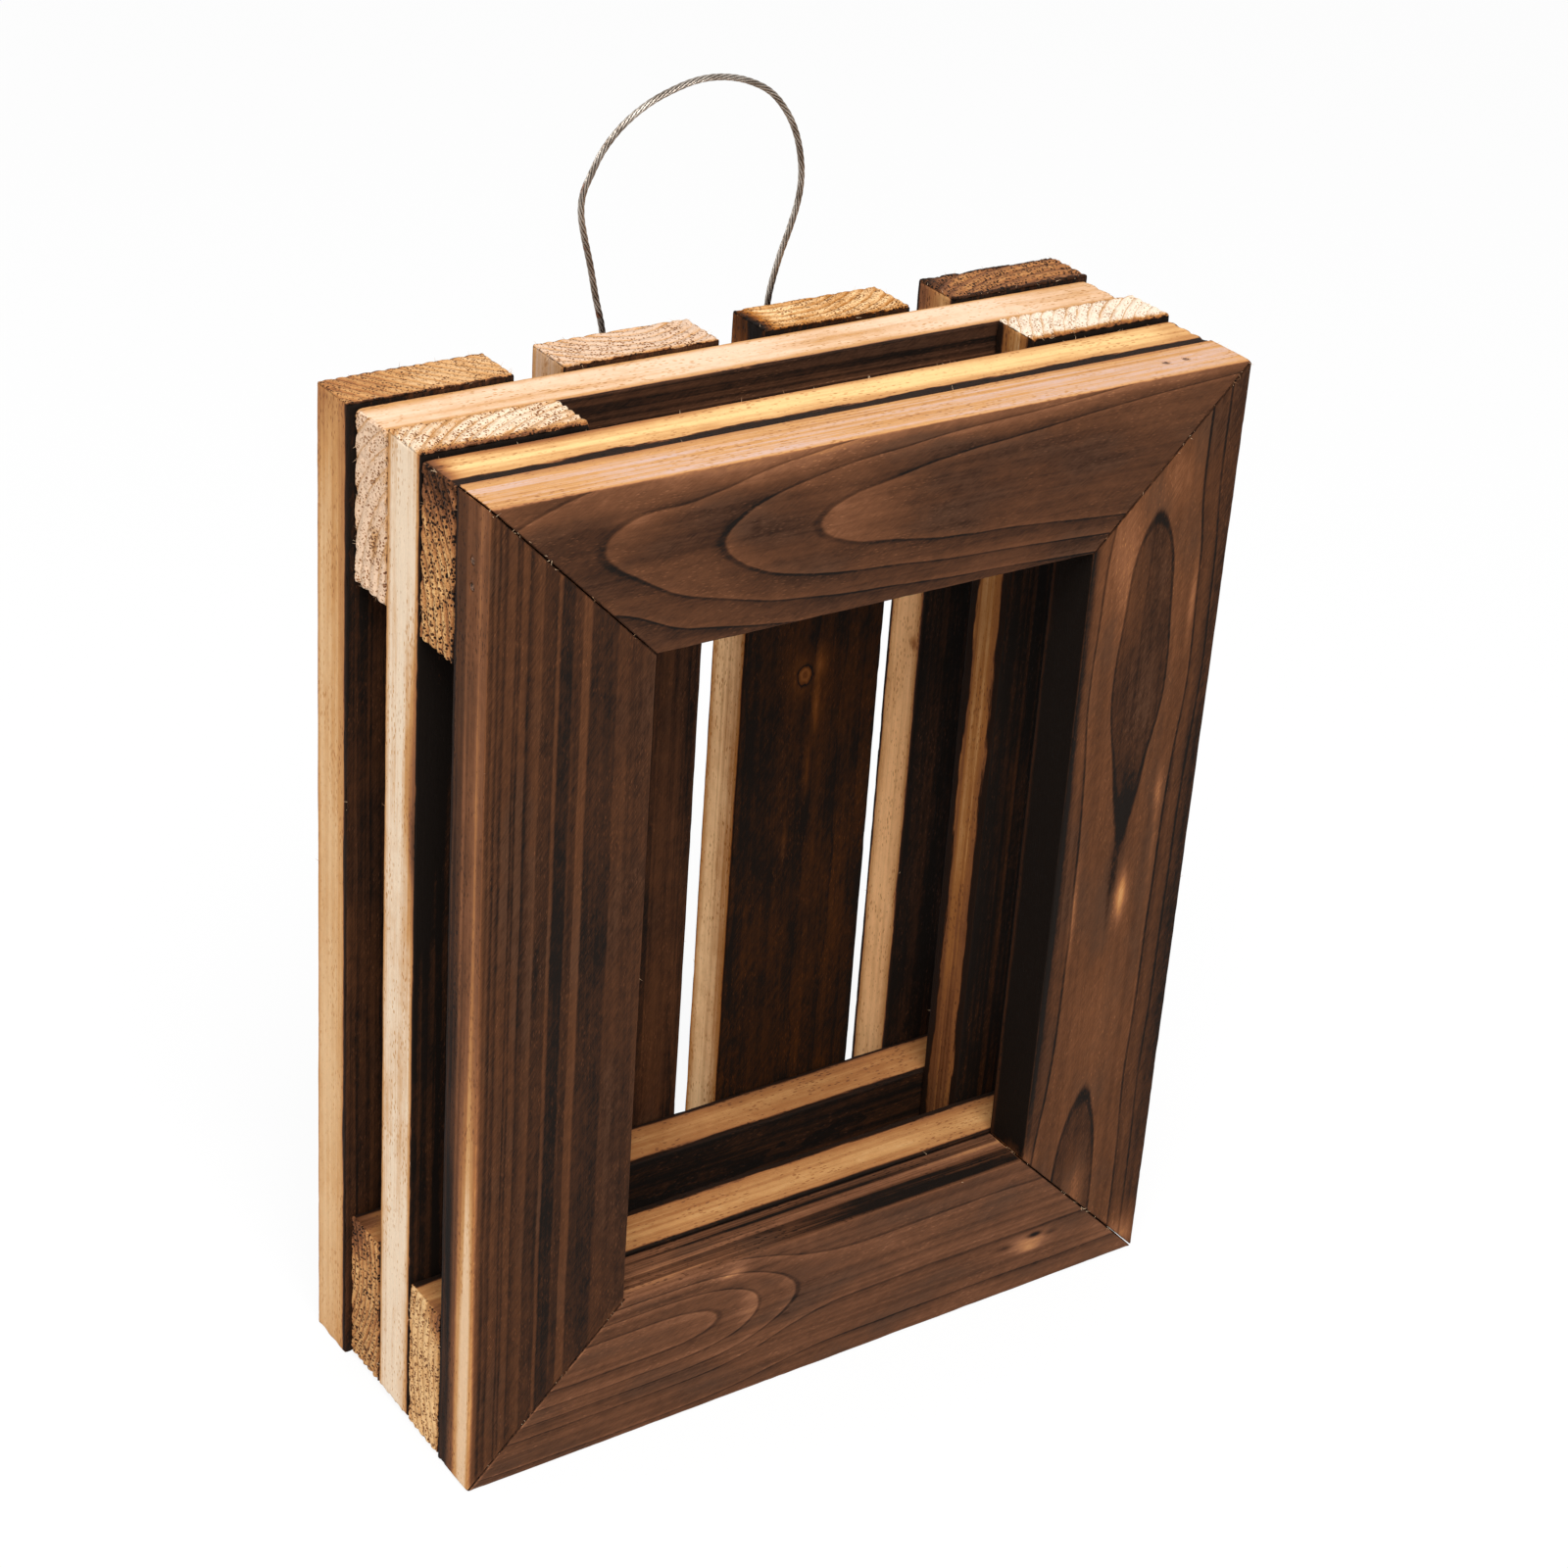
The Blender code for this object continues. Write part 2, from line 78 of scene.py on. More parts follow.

# %% [markdown]
# ## The camera
#
# The photograph was taken from above and to the left of the board, with a long lens that was tilted
# a little to one side. A camera is placed here from four facts: where it stands, the direction it
# looks in, its roll, and its focal length. The picture's middle isn't quite on the lens's axis, which
# the lens shift puts right.

# %% Place the camera
PHOTO_SIDE = 1600            # pixels
FOCAL_LENGTH = 3392.6        # in pixels of the photograph
AXIS_PIXEL = (853.5, 748.0)  # where the lens's axis meets the picture
SENSOR = 36.0                # mm
CAMERA_PLACE = Vector((-0.47915, -0.67995, 0.62880))
CAMERA_AZIMUTH = radians(-36.351)
CAMERA_ELEVATION = radians(27.603)
CAMERA_ROLL = radians(4.581)

ahead = Vector((-sin(CAMERA_AZIMUTH) * cos(CAMERA_ELEVATION),
                cos(CAMERA_AZIMUTH) * cos(CAMERA_ELEVATION), -sin(CAMERA_ELEVATION)))
level = ahead.cross(Vector((0, 0, 1))).normalized()
upright = level.cross(ahead)
right = cos(CAMERA_ROLL) * level + sin(CAMERA_ROLL) * upright
above = right.cross(ahead)

lens = bpy.data.cameras.new("photo_camera")
lens.sensor_width = SENSOR
lens.lens = FOCAL_LENGTH / PHOTO_SIDE * SENSOR
lens.shift_x = (PHOTO_SIDE / 2 - AXIS_PIXEL[0]) / PHOTO_SIDE
lens.shift_y = (AXIS_PIXEL[1] - PHOTO_SIDE / 2) / PHOTO_SIDE
camera = bpy.data.objects.new("photo_camera", lens)
turned_to_view = Matrix((right, above, -ahead)).transposed().to_4x4()
camera.matrix_world = Matrix.Translation(CAMERA_PLACE) @ turned_to_view
bpy.context.scene.collection.objects.link(camera)
bpy.context.scene.camera = camera
print(f"camera: {lens.lens:.1f} mm lens")

# %% [markdown]
# ## Sums that write node trees
#
# Both the wood's finish and its worn shape are sums over a place in the plank. Writing those sums as
# Python expressions keeps them readable. The class below wraps one output socket; `a + b` adds the
# Math node that adds them, or a Vector Math node where either is a vector. The same class serves
# shader trees and Geometry Nodes trees, because both have these nodes.


# %% The socket wrapper
class Flow:
    """One output socket of a node tree, ready for use in a sum."""

    def __init__(self, tree, socket=None):
        self.tree = tree
        self.socket = socket

    def node(self, kind, settings=None, inputs=None, output=0):
        """Add a node by its type, its settings and what its sockets get, and return one output."""
        made = self.tree.nodes.new(kind)
        for name, value in (settings or {}).items():
            if name == "stops":
                set_stops(made.color_ramp, value)
            else:
                setattr(made, name, value)
        for name, value in (inputs or {}).items():
            socket = made.inputs[name]
            if isinstance(value, Flow):
                self.tree.links.new(value.socket, socket)
            elif socket.type == "VECTOR" and isinstance(value, (int, float)):
                socket.default_value = (value, value, value)
            else:
                socket.default_value = value
        return Flow(self.tree, made.outputs[output])

    def output(self, name):
        """Another output of the same node."""
        return Flow(self.tree, self.socket.node.outputs[name])

    def math(self, operation, *values):
        """A Math node on the values, or a Vector Math node where one of them is a vector."""
        vector = any(isinstance(v, tuple) or (isinstance(v, Flow) and v.socket.type == "VECTOR")
                     for v in values)
        kind = "ShaderNodeVectorMath" if vector else "ShaderNodeMath"
        return self.node(kind, {"operation": operation}, dict(enumerate(values)))

    def __add__(self, other):
        return self.math("ADD", self, other)

    def __radd__(self, other):
        return self.math("ADD", other, self)

    def __sub__(self, other):
        return self.math("SUBTRACT", self, other)

    def __rsub__(self, other):
        return self.math("SUBTRACT", other, self)

    def __mul__(self, other):
        return self.math("MULTIPLY", self, other)

    def __rmul__(self, other):
        return self.math("MULTIPLY", other, self)

    def __truediv__(self, other):
        return self.math("DIVIDE", self, other)

    def __rtruediv__(self, other):
        return self.math("DIVIDE", other, self)

    def __pow__(self, other):
        return self.math("POWER", self, other)

    def __neg__(self):
        return self.math("MULTIPLY", self, -1.0)

    def __abs__(self):
        return self.math("ABSOLUTE", self)


def set_stops(ramp, stops):
    """Give a colour ramp its stops: pairs of a place and a colour."""
    while len(ramp.elements) < len(stops):
        ramp.elements.new(1.0)
    for element, (place, colour) in zip(ramp.elements, stops):
        element.position = place
        element.color = (*colour, 1.0)


# %% Small helpers for sums
def split(vector):
    """The three numbers of a vector."""
    x = vector.node("ShaderNodeSeparateXYZ", inputs={"Vector": vector})
    return x, x.output("Y"), x.output("Z")


def join(x, y, z):
    """A vector of three numbers, at least one of which is a Flow."""
    flow = next(v for v in (x, y, z) if isinstance(v, Flow))
    return flow.node("ShaderNodeCombineXYZ", inputs={"X": x, "Y": y, "Z": z})


def least(first, second):
    return first.math("MINIMUM", first, second)


def most(first, second):
    return first.math("MAXIMUM", first, second)


def noise(place, detail=2.0, roughness=0.5):
    """Smooth noise about 0.5, one blob to each unit of the place."""
    return place.node("ShaderNodeTexNoise", inputs={"Vector": place, "Scale": 1.0, "Detail": detail,
                                                    "Roughness": roughness})


def rise(value, low, high):
    """A smooth step from 0 at low to 1 at high; low may be the greater."""
    return value.node("ShaderNodeMapRange", {"interpolation_type": "SMOOTHSTEP"},
                      {"Value": value, "From Min": low, "From Max": high})


def fade(distance, reach):
    """1 at no distance, falling away smoothly over the reach."""
    return distance.math("EXPONENT", distance / reach * -1.0)


def between(factor, first, second):
    """A number between two, by a factor from 0 to 1."""
    return first + (second - first) * factor


def mix_colour(factor, first, second, kind="MIX"):
    """A colour between two, through a Mix node. Plain colours are given as three numbers."""
    flow = next(v for v in (factor, first, second) if isinstance(v, Flow))
    first, second = ((*c, 1.0) if isinstance(c, tuple) else c for c in (first, second))
    return flow.node("ShaderNodeMix", {"data_type": "RGBA", "blend_type": kind},
                     {0: factor, 6: first, 7: second}, output=2)


def bump(height, strength, distance):
    """The normal of a surface that the height makes uneven."""
    return height.node("ShaderNodeBump", inputs={"Strength": strength, "Distance": distance,
                                                 "Height": height})


# %% [markdown]
# ## Finishes of metal
#
# The rope is of bright steel wire that has gone a little brown, the ferrules are of grey aluminium,
# pressed on, and the screw eyes and nails are zinc-plated steel. Metal shows its colour in its
# reflections, so each finish has little more than a colour, a roughness that noise varies, and fine
# scratches or, on the rope, the small wires of each strand.


# %% Metal finishes
def new_material(name):
    """An empty material with its Principled shader, and a Flow to start sums from."""
    material = bpy.data.materials.new(name)
    material.use_nodes = True
    tree = material.node_tree
    return material, tree.nodes["Principled BSDF"], Flow(tree)


def connect(tree, shader, **inputs):
    """Links or numbers for the shader's sockets; an underscore stands for a space in their names."""
    for name, value in inputs.items():
        socket = shader.inputs[name.replace("_", " ")]
        if isinstance(value, Flow):
            tree.links.new(value.socket, socket)
        else:
            socket.default_value = value


METAL_PATCHES = 900.0                     # blobs to a metre
METAL_GRAZES = (5000.0, 5000.0, 1200.0)   # the same for fine scratches, longer up and down
GRAZE_DEPTH = 0.05 * MM


def object_place(start):
    """Where a point lies in space, in metres."""
    return start.node("ShaderNodeTexCoord", output="Object")


def metal_finish(name, dull, bright, roughness, scratch):
    """Worn plain metal: two tones, patchy roughness and fine scratches."""
    material, shader, start = new_material(name)
    place = object_place(start)
    patches = noise(place * METAL_PATCHES, detail=3.0)
    grazes = noise(place * METAL_GRAZES, detail=2.0)
    colour = mix_colour(rise(patches, 0.35, 0.65), dull, bright)
    connect(start.tree, shader, Base_Color=colour, Metallic=1.0,
            Roughness=roughness + (patches - 0.5) * 0.25,
            Normal=bump(grazes, scratch, GRAZE_DEPTH))
    return material


nail_steel = metal_finish("nail_steel_finish", (0.30, 0.27, 0.23), (0.55, 0.52, 0.48), 0.38, 0.35)
brad_steel = metal_finish("brad_finish", (0.035, 0.020, 0.013), (0.34, 0.19, 0.12), 0.70, 0.6)
ferrule_metal = metal_finish("ferrule_finish", (0.42, 0.42, 0.42), (0.60, 0.60, 0.60), 0.42, 0.5)
eye_zinc = metal_finish("screw_eye_finish", (0.42, 0.41, 0.37), (0.62, 0.61, 0.57), 0.30, 0.3)


# %% The rope's finish
ROPE_BROWN = (0.20, 0.155, 0.12)
ROPE_BRIGHT = (0.70, 0.64, 0.57)
# painted shade: the nearly black colour of the grooves between the strands
ROPE_GROOVE_SHADE = (0.030, 0.022, 0.016)
ROPE_RUST = (0.20, 0.085, 0.045)
ROPE_RADIUS = 0.95 * MM
WIRES_AROUND = 6          # wires that show around one strand
WIRE_TURN = 9.0 * MM      # a wire's full turn along its strand
WIRE_DEPTH = 0.06 * MM    # of the grooves between the wires
ROPE_STAINS, ROPE_SPOTS = 220.0, 90.0    # blobs to a metre of brown stain, and of rust
# painted shade: between these shares of the rope's radius, a strand darkens where it faces the rope's
# middle
GROOVE_SHADE_EDGE, GROOVE_SHADE_DEEP = 0.88, 0.70    # of the rope's radius, where the lay darkens


def rope_finish():
    """Small wires twist around each strand: a wave over the strand's own 'around' and 'along'. Painted
    shade darkens the grooves between the strands.
    """
    material, shader, start = new_material("wire_rope_finish")

    def kept(name, output="Vector"):
        return start.node("ShaderNodeAttribute", {"attribute_name": name}, output=output)

    aside, upward = split(kept("around"))[:2]
    along = kept("along", "Fac")
    turned_by = aside.math("ARCTAN2", upward, aside) + along / WIRE_TURN * (2 * pi)
    wires = along.math("SINE", turned_by * WIRES_AROUND) * 0.5 + 0.5
    place = object_place(start)
    stain = noise(place * ROPE_STAINS, detail=3.0)
    bright = wires * rise(stain, 0.25, 0.7)
    colour = mix_colour(bright, ROPE_BROWN, ROPE_BRIGHT)
    colour = mix_colour(rise(noise(place * ROPE_SPOTS), 0.66, 0.72), colour, ROPE_RUST)
    # Painted shade: where a strand turns in towards the rope's middle, in the grooves of the lay, it
    # goes nearly black
    out = place - kept("centre")
    out = out.math("LENGTH", out).output("Value") / ROPE_RADIUS
    colour = mix_colour(rise(out, GROOVE_SHADE_EDGE, GROOVE_SHADE_DEEP), colour, ROPE_GROOVE_SHADE)
    connect(start.tree, shader, Base_Color=colour, Metallic=1.0, Roughness=0.46 - 0.14 * wires,
            Normal=bump(wires, 0.8, WIRE_DEPTH))
    return material


rope_steel = rope_finish()
print("metal finishes:", nail_steel.name, ferrule_metal.name, eye_zinc.name, rope_steel.name)

# %% [markdown]
# ## The rope's route
#
# The rope stands up behind the board in a loop, as stiff wire rope does. Each end turns round a
# screw eye in the back and is pressed in a ferrule. Its centreline is the model's own, so the same
# few points are given here, each as a distance to the right of the loop's middle and a height above
# the screw eyes, and the same smooth curve is drawn through them.

# %% The route's points
LOOP_POINTS = [
    (-0.0275, 0.0318), (-0.0299, 0.0413), (-0.0321, 0.0512), (-0.0343, 0.0596),
    (-0.0355, 0.0660), (-0.0351, 0.0715), (-0.0329, 0.0765), (-0.0294, 0.0828),
    (-0.0235, 0.0891), (-0.0157, 0.0942), (-0.0070, 0.0975), (0.0005, 0.0991),
    (0.0083, 0.0989), (0.0159, 0.0970), (0.0234, 0.0931), (0.0292, 0.0868),
    (0.0330, 0.0797), (0.0351, 0.0718), (0.0355, 0.0652), (0.0346, 0.0590),
    (0.0325, 0.0520), (0.0303, 0.0459), (0.0283, 0.0390), (0.0270, 0.0322),
]
STRAND_GAP = 0.3 * MM        # between the two runs of rope in a ferrule
ROPE_EYE_RADIUS = 4.0 * MM   # of the rope's turn through a screw eye
ROPE_EYE_SWEEP = radians(128)    # to each side of its lowest point
ROPE_EYE_POINTS = 12
EYE_WIRE_RADIUS = 0.9 * MM   # of the screw eyes' own wire
EYE_RING_RADIUS = 3.9 * MM

hinge = Vector(frame["joints"][0]["pos_m"])
ferrule_boxes = {side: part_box("wire_ferrule_" + side) for side in ("left", "right")}
ferrule_x = {side: (box[0].x + box[1].x) / 2 for side, box in ferrule_boxes.items()}
ferrule_foot, ferrule_top = (corner.z for corner in ferrule_boxes["left"])


def smooth_curve(points, steps=12):
    """Points along a smooth curve through the given ones, with the same number in each stretch."""
    ends = [2 * points[0] - points[1]] + points + [2 * points[-1] - points[-2]]
    curve = []
    for a, b, c, d in zip(ends, ends[1:], ends[2:], ends[3:]):
        for k in range(steps):
            t = k / steps
            curve.append(0.5 * (2 * b + (c - a) * t + (2 * a - 5 * b + 4 * c - d) * t * t
                                + (3 * b - a - 3 * c + d) * t ** 3))
    return curve + [points[-1]]


def rope_eye(side, outward):
    """From the rope's cut end, down through its ferrule and round the screw eye's ring."""
    strand = ROPE_RADIUS + STRAND_GAP / 2
    seat = EYE_RING_RADIUS - EYE_WIRE_RADIUS - ROPE_RADIUS - STRAND_GAP
    middle = hinge.z + seat + ROPE_EYE_RADIUS
    places = [(-strand, ferrule_top), (-strand, ferrule_foot)]
    for k in range(ROPE_EYE_POINTS + 1):
        angle = ROPE_EYE_SWEEP * (2 * k / ROPE_EYE_POINTS - 1)
        places.append((ROPE_EYE_RADIUS * sin(angle), middle - ROPE_EYE_RADIUS * cos(angle)))
    return [Vector((ferrule_x[side] + outward * across, hinge.y, z)) for across, z in places]


def rope_route():
    """The whole centreline, from the left ferrule's cut end to the right one's."""
    strand = ROPE_RADIUS + STRAND_GAP / 2
    legs = [[Vector((ferrule_x[side] + outward * strand, hinge.y, z))
             for z in (ferrule_foot, ferrule_top)] for side, outward in (("left", -1), ("right", 1))]
    loop = [Vector((hinge.x + across, hinge.y, hinge.z + up)) for across, up in LOOP_POINTS]
    return (rope_eye("left", -1) + smooth_curve(legs[0] + loop + legs[1][::-1])
            + rope_eye("right", 1)[::-1])


route = rope_route()
print(f"rope: {sum((b - a).length for a, b in zip(route, route[1:])):.4f} m, {len(route)} points")

# %% [markdown]
# ## The rope itself
#
# A rope like this has a core strand and six strands laid round it. A Geometry Nodes tree lays them:
# it copies the centreline once for each strand, and moves each copy off the centre by an angle that
# grows along the rope, so that every strand is a helix. Sweeping a small circle along each copy
# gives the strand its thickness. This way the lay is real geometry, and its pitch is one number.

# %% Helpers for Geometry Nodes trees
def new_geometry_tree(name, sockets):
    """A tree with the named inputs and one geometry output, and a Flow of its group's inputs."""
    tree = bpy.data.node_groups.new(name, "GeometryNodeTree")
    tree.interface.new_socket(name="Geometry", in_out="OUTPUT", socket_type="NodeSocketGeometry")
    tree.interface.new_socket(name="Geometry", in_out="INPUT", socket_type="NodeSocketGeometry")
    for socket, kind in sockets.items():
        tree.interface.new_socket(name=socket, in_out="INPUT", socket_type="NodeSocket" + kind)
    return Flow(tree).node("NodeGroupInput", output="Geometry")


def end_tree(geometry, material):
    """Real geometry with its material, as the tree's result."""
    real = geometry.node("GeometryNodeRealizeInstances", inputs={"Geometry": geometry})
    painted = real.node("GeometryNodeSetMaterial", inputs={"Geometry": real, "Material": material})
    out = painted.tree.nodes.new("NodeGroupOutput")
    painted.tree.links.new(painted.socket, out.inputs["Geometry"])
    return painted.tree


def stored(geometry, name, value, kind="FLOAT"):
    """The geometry with a value kept at each of its points, under a name."""
    return geometry.node("GeometryNodeStoreNamedAttribute", {"data_type": kind},
                         {"Geometry": geometry, "Name": name, "Value": value})


def swept(line, ring):
    """A closed tube: the ring swept along the line."""
    return line.node("GeometryNodeCurveToMesh",
                     inputs={"Curve": line, "Profile Curve": ring, "Fill Caps": True})


def linked(obj):
    bpy.context.scene.collection.objects.link(obj)
    return obj


def built(bm, name, material=None, sharp=None):
    """An object of what was built in a bmesh, with its edges sharp past an angle."""
    mesh = bpy.data.meshes.new(name)
    bm.to_mesh(mesh)
    bm.free()
    if sharp:
        mesh.set_sharp_from_angle(angle=sharp)
    if material:
        mesh.materials.append(material)
    return linked(bpy.data.objects.new(name, mesh))


def plain_mesh(obj, name):
    """A new object with the mesh that the modifiers make of obj, which goes."""
    depsgraph = bpy.context.evaluated_depsgraph_get()
    mesh = bpy.data.meshes.new_from_object(obj.evaluated_get(depsgraph),
                                           preserve_all_data_layers=True, depsgraph=depsgraph)
    bpy.data.objects.remove(obj)
    mesh.name = name
    return linked(bpy.data.objects.new(name, mesh))


def grown(name, base, tree, **values):
    """The plain mesh object that a tree makes of a base mesh, with the tree's inputs set."""
    obj = linked(bpy.data.objects.new(name + "_base", base))
    modifier = obj.modifiers.new(tree.name, "NODES")
    modifier.node_group = tree
    for item in tree.interface.items_tree:
        key = item.name.replace(" ", "_")
        if item.in_out == "INPUT" and key in values:
            modifier[item.identifier] = values[key]
    made = plain_mesh(obj, name)
    print(f"{name}: {len(made.data.polygons)} faces")
    return made


def line_mesh(points):
    """A mesh that is only a line through the points."""
    mesh = bpy.data.meshes.new("line")
    mesh.from_pydata(points, [(k, k + 1) for k in range(len(points) - 1)], [])
    return mesh


# %% Lay the rope
ROPE_STRANDS = 6
ROPE_LAY = 15.5 * MM      # a strand's full turn round the rope
STRAND_RADIUS = ROPE_RADIUS / 3
STRAND_SIDES = 8
ROPE_STEP = 0.9 * MM      # between the rings of points along a strand


def rope_tree():
    """Strands laid round a core along a line that lies in an upright plane, facing +Y."""
    start = new_geometry_tree("laid_rope", {"Strands": "Int", "Strand Radius": "Float",
                                            "Lay": "Float", "Step": "Float",
                                            "Material": "Material"})
    radius, lay = start.output("Strand Radius"), start.output("Lay")
    line = start.node("GeometryNodeMeshToCurve", inputs={"Mesh": start})
    line = line.node("GeometryNodeResampleCurve", {"mode": "LENGTH"},
                     {"Curve": line, "Length": start.output("Step")})
    copies = line.node("GeometryNodeDuplicateElements", {"domain": "SPLINE"},
                       {"Geometry": line, "Amount": start.output("Strands") + 1})
    number = copies.output("Duplicate Index")
    along = line.node("GeometryNodeSplineParameter", output="Length")
    angle = (along / lay + number / start.output("Strands")) * (2 * pi)
    tangent = line.node("GeometryNodeInputTangent")
    aside = line.math("CROSS_PRODUCT", tangent, (0.0, 1.0, 0.0))
    off_centre = radius * 2.0 * number.math("MINIMUM", number, 1.0)
    offset = aside * angle.math("COSINE", angle) + (0.0, 1.0, 0.0) * angle.math("SINE", angle)
    place = start.node("GeometryNodeInputPosition")
    marked = stored(stored(copies, "along", along), "centre", place, "FLOAT_VECTOR")
    laid = marked.node("GeometryNodeSetPosition",
                       inputs={"Geometry": marked, "Offset": offset * off_centre})
    ring = start.node("GeometryNodeCurvePrimitiveCircle",
                      inputs={"Resolution": STRAND_SIDES, "Radius": radius})
    ring = stored(ring, "around", place / radius, "FLOAT_VECTOR")
    return end_tree(swept(laid, ring), start.output("Material"))


rope = grown("rope", line_mesh(route), rope_tree(), Strands=ROPE_STRANDS,
             Strand_Radius=STRAND_RADIUS, Lay=ROPE_LAY, Step=ROPE_STEP, Material=rope_steel)

# %% [markdown]
# ## Ferrules and screw eyes
#
# A ferrule is an oval sleeve pressed over the two runs of rope, and the press leaves two shallow
# waists. It is built as one skin: rings of points go up the outside and come down the bore. A screw
# eye is a bent wire, so it is one round wire swept along its bend.

# %% Press the ferrules
FERRULE_AROUND = 32
FERRULE_LEVELS = 24
FERRULE_PINCH = 0.30 * MM     # depth of its waists
FERRULE_CLEARANCE = 0.3 * MM  # between the rope and the bore
FERRULE_RIM = 0.04            # the part of its height, at each end, that is rounded off
FERRULE_RIM_DROP = 0.25 * MM


def ferrule(side):
    """An oval sleeve with two pressed waists and a softened rim, from its node's own box."""
    low, high = ferrule_boxes[side]
    centre = (low + high) / 2
    half_gap = ROPE_RADIUS + STRAND_GAP / 2
    outer = (high.y - low.y) / 2

    def ring(radius, up):
        points = []
        for k in range(FERRULE_AROUND):
            angle = 2 * pi * k / FERRULE_AROUND
            shift = half_gap if cos(angle) > 0 else -half_gap
            points.append(bm.verts.new((centre.x + shift + radius * cos(angle),
                                        centre.y + radius * sin(angle), up)))
        return points

    bm = bmesh.new()
    rings = []
    for k in range(FERRULE_LEVELS + 1):
        share = k / FERRULE_LEVELS
        waist = (sin(2 * pi * share) ** 2) * FERRULE_PINCH
        rim = max(0.0, abs(share - 0.5) - 0.5 + FERRULE_RIM) / FERRULE_RIM * FERRULE_RIM_DROP
        rings.append(ring(outer - waist - rim, low.z + (high.z - low.z) * share))
    rings += [ring(ROPE_RADIUS + FERRULE_CLEARANCE, up) for up in (high.z, low.z)]
    for one, two in zip(rings, rings[1:] + rings[:1]):
        for k in range(FERRULE_AROUND):
            n = (k + 1) % FERRULE_AROUND
            bm.faces.new((one[k], one[n], two[n], two[k])).smooth = True
    bmesh.ops.recalc_face_normals(bm, faces=bm.faces)
    return built(bm, "ferrule_" + side, ferrule_metal, sharp=radians(50))


ferrules = {side: ferrule(side) for side in ("left", "right")}
print("ferrules:", [len(obj.data.polygons) for obj in ferrules.values()], "faces")

# %% Bend the screw eyes
EYE_SHANK = 15.0 * MM
EYE_STAND = 8.5 * MM          # from the slat's back to the middle of the ring
EYE_NECK = 2.6 * MM
EYE_NECK_ANGLE = radians(25)
EYE_OPENING = radians(32)
EYE_STEPS = 60
EYE_SIDES = 16


def bent_wire_tree():
    """Round wire along a line."""
    start = new_geometry_tree("bent_wire", {"Radius": "Float", "Sides": "Int",
                                            "Material": "Material"})
    line = start.node("GeometryNodeMeshToCurve", inputs={"Mesh": start})
    ring = start.node("GeometryNodeCurvePrimitiveCircle",
                      inputs={"Resolution": start.output("Sides"),
                              "Radius": start.output("Radius")})
    return end_tree(swept(line, ring), start.output("Material"))


def screw_eye_line(x):
    """The shank, the neck and the ring, in an upright plane across the back."""
    r = EYE_RING_RADIUS
    outline = [(-EYE_STAND - EYE_SHANK, 0.0), (-r - EYE_NECK, 0.0),
               (-r - EYE_NECK * 0.4, -EYE_WIRE_RADIUS / 6)]
    first, last = pi + EYE_NECK_ANGLE, 3 * pi - EYE_OPENING
    for k in range(EYE_STEPS + 1):
        angle = first + (last - first) * k / EYE_STEPS
        outline.append((r * cos(angle), r * sin(angle)))
    return [Vector((x, hinge.y + y, hinge.z + z)) for y, z in outline]


wire_tree = bent_wire_tree()
screw_eyes = {side: grown("eye_screw_" + side, line_mesh(screw_eye_line(x)), wire_tree,
                          Radius=EYE_WIRE_RADIUS, Sides=EYE_SIDES, Material=eye_zinc)
              for side, x in ferrule_x.items()}

# %% [markdown]
# ## The fourteen planks, as facts
#
# Every plank is the same batten, so one table of facts can describe them all. A plank's finish is
# given as scorch levels, from 0 for clean wood to 1 for black char: one for each wide face, each
# sawn edge and each end. Char also creeps round an arris on to the sawn wood beside it, by a few
# millimetres. The rest of a plank's facts say how its growth rings lie: how far the tree's heart is
# in front of the front face, where it comes closer to that face, and how far apart the rings are.
# In each plank, "along" is the way of its grain, "across" its width, and lengths are millimetres.


# %% Facts of one plank
@dataclass
class Plank:
    node: str
    slot: str
    raw: tuple                # colour of its clean wood
    face: tuple               # scorch of the front and the back face
    low: tuple                # scorch of its left or lower edge, at the front and at the back
    high: tuple               # scorch of its right or upper edge, the same
    ends: tuple               # scorch of its left or lower end, and of the other
    creep: tuple = (1.0, 0.8)     # the char's reach on to the edges, from the front and the back
    end_creep: float = 0.7        # its reach on to the ends
    heart: tuple = (14.0, 16.0)   # the heart's place across, and its distance before the front face
    lean: float = 0.0             # how much closer it comes for each millimetre along
    swells: tuple = ()            # height, place along and spread of each swell towards the face
    sway: tuple = (0.0, 0.0, 1.0)     # shift across, place along and spread of a bend of the heart
    waver: float = 2.4            # how far the rings wander
    spacing: float = 3.2          # of the rings, where no figure is given
    figure: tuple = ()            # distance from the heart and added scorch, as drawn on the face
    contrast: float = 0.35        # of the rings on the faces
    stripes: float = 0.10         # of the narrow stripes along the faces
    edge_stripes: float = 0.10    # of those along the edges
    streaks: float = 0.18         # of the broad streaks along the faces
    patchy: float = 0.26          # of the large patches on the faces
    dull: float = 0.0             # how much of the scorched colour's strength the soot takes
    knots: tuple = ()             # place along, across and radius
    spots: tuple = ()             # place, reach (each along, across, deep) and added scorch
    mitre: int = 0                # 1 or -1 where the upper or right, or the other, edge is longer
    wear: float = 0.0             # lightening along the front arrises
    pores: float = 0.5            # size and darkness of the pores in its ends
    torn: float = 0.55            # mm, how deep the saw tore its ends
    fuzz: float = 0.0             # splinters along its long arrises
    seed: float = 0.0


# %% [markdown]
# The front frame's faces show their growth rings best. Their rings and bands were given one by one,
# each at its distance from the heart, with how much it adds to the scorch. A ring has a light rim, a
# thin dark line and a band that fades away.

